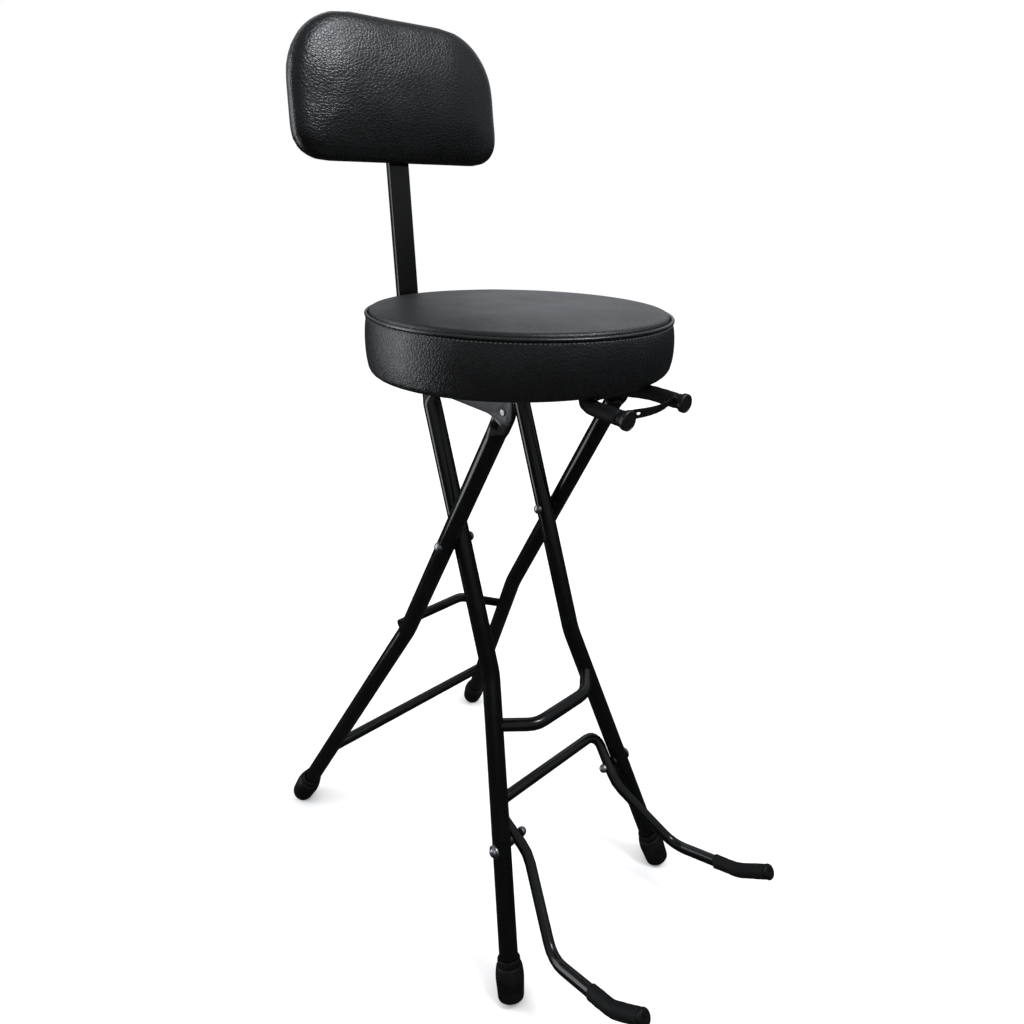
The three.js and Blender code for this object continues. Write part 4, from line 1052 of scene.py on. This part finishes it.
def makeFoot(end, side, word):
    top = foot["length"]
    neck = top - foot["collarLength"]
    corners = [(0, 0, 0)] + [(r, h, 0.8) for r, h in reversed(foot["toe"])]
    corners += [(foot["barrel"], top * foot["widest"], 6), (foot["waist"] + 0.5, neck - 1.2, 1.5),
                (foot["waist"] - 0.2, neck, 0.5), (foot["collar"] - 0.5, neck, 0.2),
                (foot["collar"] - 0.5, neck + 0.8, 0.2), (foot["collar"], neck + 1.4, 0.4),
                (foot["collar"] - 0.2, top - 0.2, 0.7), (foot["bore"] + 0.4, top, 0.3),
                (foot["bore"], top - 0.5, 0.2),
                (foot["bore"], foot["sole"], 0), (0, foot["sole"], 0)]
    mesh = turnedMesh("foot", [(softened(corners), footPlace(end, side))], 64)
    bm = bmesh.new()
    bm.from_mesh(mesh)
    bpy.data.meshes.remove(mesh)
    bmesh.ops.bisect_plane(bm, geom=bm.verts[:] + bm.edges[:] + bm.faces[:], plane_co=(0, 0, 0),
                           plane_no=(0, 0, 1), clear_inner=True)
    bmesh.ops.holes_fill(bm, edges=[edge for edge in bm.edges if edge.is_boundary])
    shoe = piece(end + "Shoe" + word, meshOf(bm, "foot"), "rubber", end + "_frame",
                 [end + "_foot_" + word.lower()])
    keepEdges(shoe, 42)


for end in ("rear", "front"):
    for side, word in sides:
        makeFoot(end, side, word)
print("feet done")

# carried-over nodes: smooth round tubes, softened sheet edges
# the first word that is found in a node's name gives its finish
carried = {
    "finish": (("washer", "plastic"), ("spacer", "plastic"), ("clamp_knob", "plastic"),
               ("post_plug", "plastic"), ("rivet", "dull"), ("bolt", "chrome"), ("nut", "chrome"),
               ("screw", "chrome"), ("seat_pan", "sheet"), ("backrest_arm", "sheet"),
               ("seat_board", "plywood"), ("backrest_board", "stain"), ("", "paint")),
    "round": ("leg", "_bar", "rod", "tube", "bolt", "nut", "rivet", "screw", "washer", "spacer"),
    "weld": 2e-6, "bevel": 0.0005, "bevelFrom": 40, "crispRound": 38, "crispSheet": 50,
}

for name, node in nodes.items():
    if node.hide_render:
        continue
    node.data.materials.clear()
    node.data.materials.append(finishes[next(finish for word, finish in carried["finish"] if word in name)])
    for face in node.data.polygons:
        face.use_smooth = True
    addModifier(node, "WELD", merge_threshold=carried["weld"])
    if any(word in name for word in carried["round"]):
        keepEdges(node, carried["crispRound"])
    else:
        addModifier(node, "BEVEL", width=carried["bevel"], segments=2, limit_method="ANGLE",
                    angle_limit=math.radians(carried["bevelFrom"]), harden_normals=False)
        keepEdges(node, carried["crispSheet"])
print("carried-over nodes finished")

# floor, light and camera
studio = {
    "floor": 60, "floorTone": 0.9, "lightTint": (0.965, 0.985, 1.04),
    "world": {"camera": 1.0, "diffuse": 1.12, "tint": (0.93, 0.97, 1.02, 1), "low": 0.03, "high": 0.38,
              "from": 0.0, "to": 0.12},
    "panels": {
        "key": {"at": (0.35, -1.2, 2.2), "aim": (0, 0.2, 1.0), "size": (0.46, 0.46), "glow": 27},
        "strip": {"at": (-1.15, 1.05, 0.75), "aim": (0, 0, 0.6), "size": (0.7, 1.9), "glow": 3.7},
        "front": {"at": (0.6, -1.4, 2.8), "aim": (0, 0.2, 1.0), "size": (1.4, 0.8), "glow": 3.2},
        "sheen": {"at": (2.2, 1.5, 1.85), "aim": (0, 0, 0.76), "size": (1.9, 2.0), "glow": 0.33},
        "rim": {"at": (0.2, 1.5, 2.3), "aim": (0, 0, 0.8), "size": (1.4, 0.5), "glow": 1.2},
    },
    "camera": {"at": (-0.56864, -0.60940, 0.87403), "azimuth": -42.998, "elevation": 14.108, "roll": 0.179,
               "lens": 26.2, "sensor": 36, "shift": (-0.00693, -0.1242), "clip": (0.02, 200)},
}


def makeFloor():
    bm = bmesh.new()
    bmesh.ops.create_circle(bm, cap_ends=True, segments=64, radius=studio["floor"])
    floor = newObject("studioFloor", meshOf(bm, "studioFloor"))
    material = bpy.data.materials.new("paleFloor")
    material.use_nodes = True
    desk = Desk(material.node_tree)
    matt = desk.node("ShaderNodeBsdfDiffuse", None, {"Color": grey(studio["floorTone"])})
    desk.tree.links.new(matt.socket, desk.tree.nodes["Material Output"].inputs["Surface"])
    floor.data.materials.append(material)
    floor.visible_glossy = False


# a soft panel of even glow, given as its radiance
def makePanel(name, values):
    light = bpy.data.lights.new(name, "AREA")
    light.shape = "RECTANGLE"
    light.size, light.size_y = values["size"]
    light.color = studio["lightTint"]
    light.energy = values["glow"] * math.pi * values["size"][0] * values["size"][1]
    lamp = newObject(name, light)
    lamp.location = values["at"]
    lamp.rotation_euler = (Vector(values["aim"]) - lamp.location).to_track_quat("-Z", "Y").to_euler()


def makeCamera():
    values = studio["camera"]
    camera = bpy.data.cameras.new("photoCamera")
    camera.sensor_width = values["sensor"]
    camera.lens = values["lens"]
    camera.shift_x, camera.shift_y = values["shift"]
    camera.clip_start, camera.clip_end = values["clip"]
    holder = newObject("photoCamera", camera)
    azimuth = math.radians(values["azimuth"])
    elevation = math.radians(values["elevation"])
    back = Vector((math.sin(azimuth) * math.cos(elevation), -math.cos(azimuth) * math.cos(elevation),
                   math.sin(elevation)))
    roll = Matrix.Rotation(math.radians(values["roll"]), 3, "Z")
    turn = (-back).to_track_quat("-Z", "Y").to_matrix() @ roll
    standpoint = Vector(values["at"]) + Vector((0, seatMiddle.y, 0))
    holder.matrix_world = Matrix.Translation(standpoint) @ turn.to_4x4()
    bpy.context.scene.camera = holder


# the world: white to the camera, even to matt surfaces, and for reflections dark below and pale above
def makeWorld():
    world = bpy.data.worlds.new("studioWorld")
    world.use_nodes = True
    world.cycles.sampling_method = "NONE"
    desk = Desk(world.node_tree)
    sky = studio["world"]
    heading = desk.node("ShaderNodeTexCoord", output="Generated")
    height = desk.node("ShaderNodeSeparateXYZ", None, {"Vector": heading}, output="Z")
    glow = desk.fitted(height, sky["from"], sky["to"], sky["low"], sky["high"])
    shine = desk.node("ShaderNodeBackground", None, {"Color": sky["tint"], "Strength": glow})
    wash = desk.node("ShaderNodeBackground", None, {"Color": grey(1), "Strength": sky["diffuse"]})
    seen = desk.node("ShaderNodeBackground", None, {"Color": grey(1), "Strength": sky["camera"]})
    isGlossy = desk.node("ShaderNodeLightPath", output="Is Glossy Ray")
    isCamera = desk.node("ShaderNodeLightPath", output="Is Camera Ray")
    rest = desk.node("ShaderNodeMixShader", None, {0: isGlossy, 1: wash, 2: shine})
    whole = desk.node("ShaderNodeMixShader", None, {0: isCamera, 1: rest, 2: seen})
    world.node_tree.links.new(whole.socket, world.node_tree.nodes["World Output"].inputs["Surface"])
    bpy.context.scene.world = world


makeFloor()
for name, values in studio["panels"].items():
    makePanel(name + "Panel", values)
makeCamera()
makeWorld()
bpy.context.scene.view_settings.view_transform = "Standard"
print("studio done")
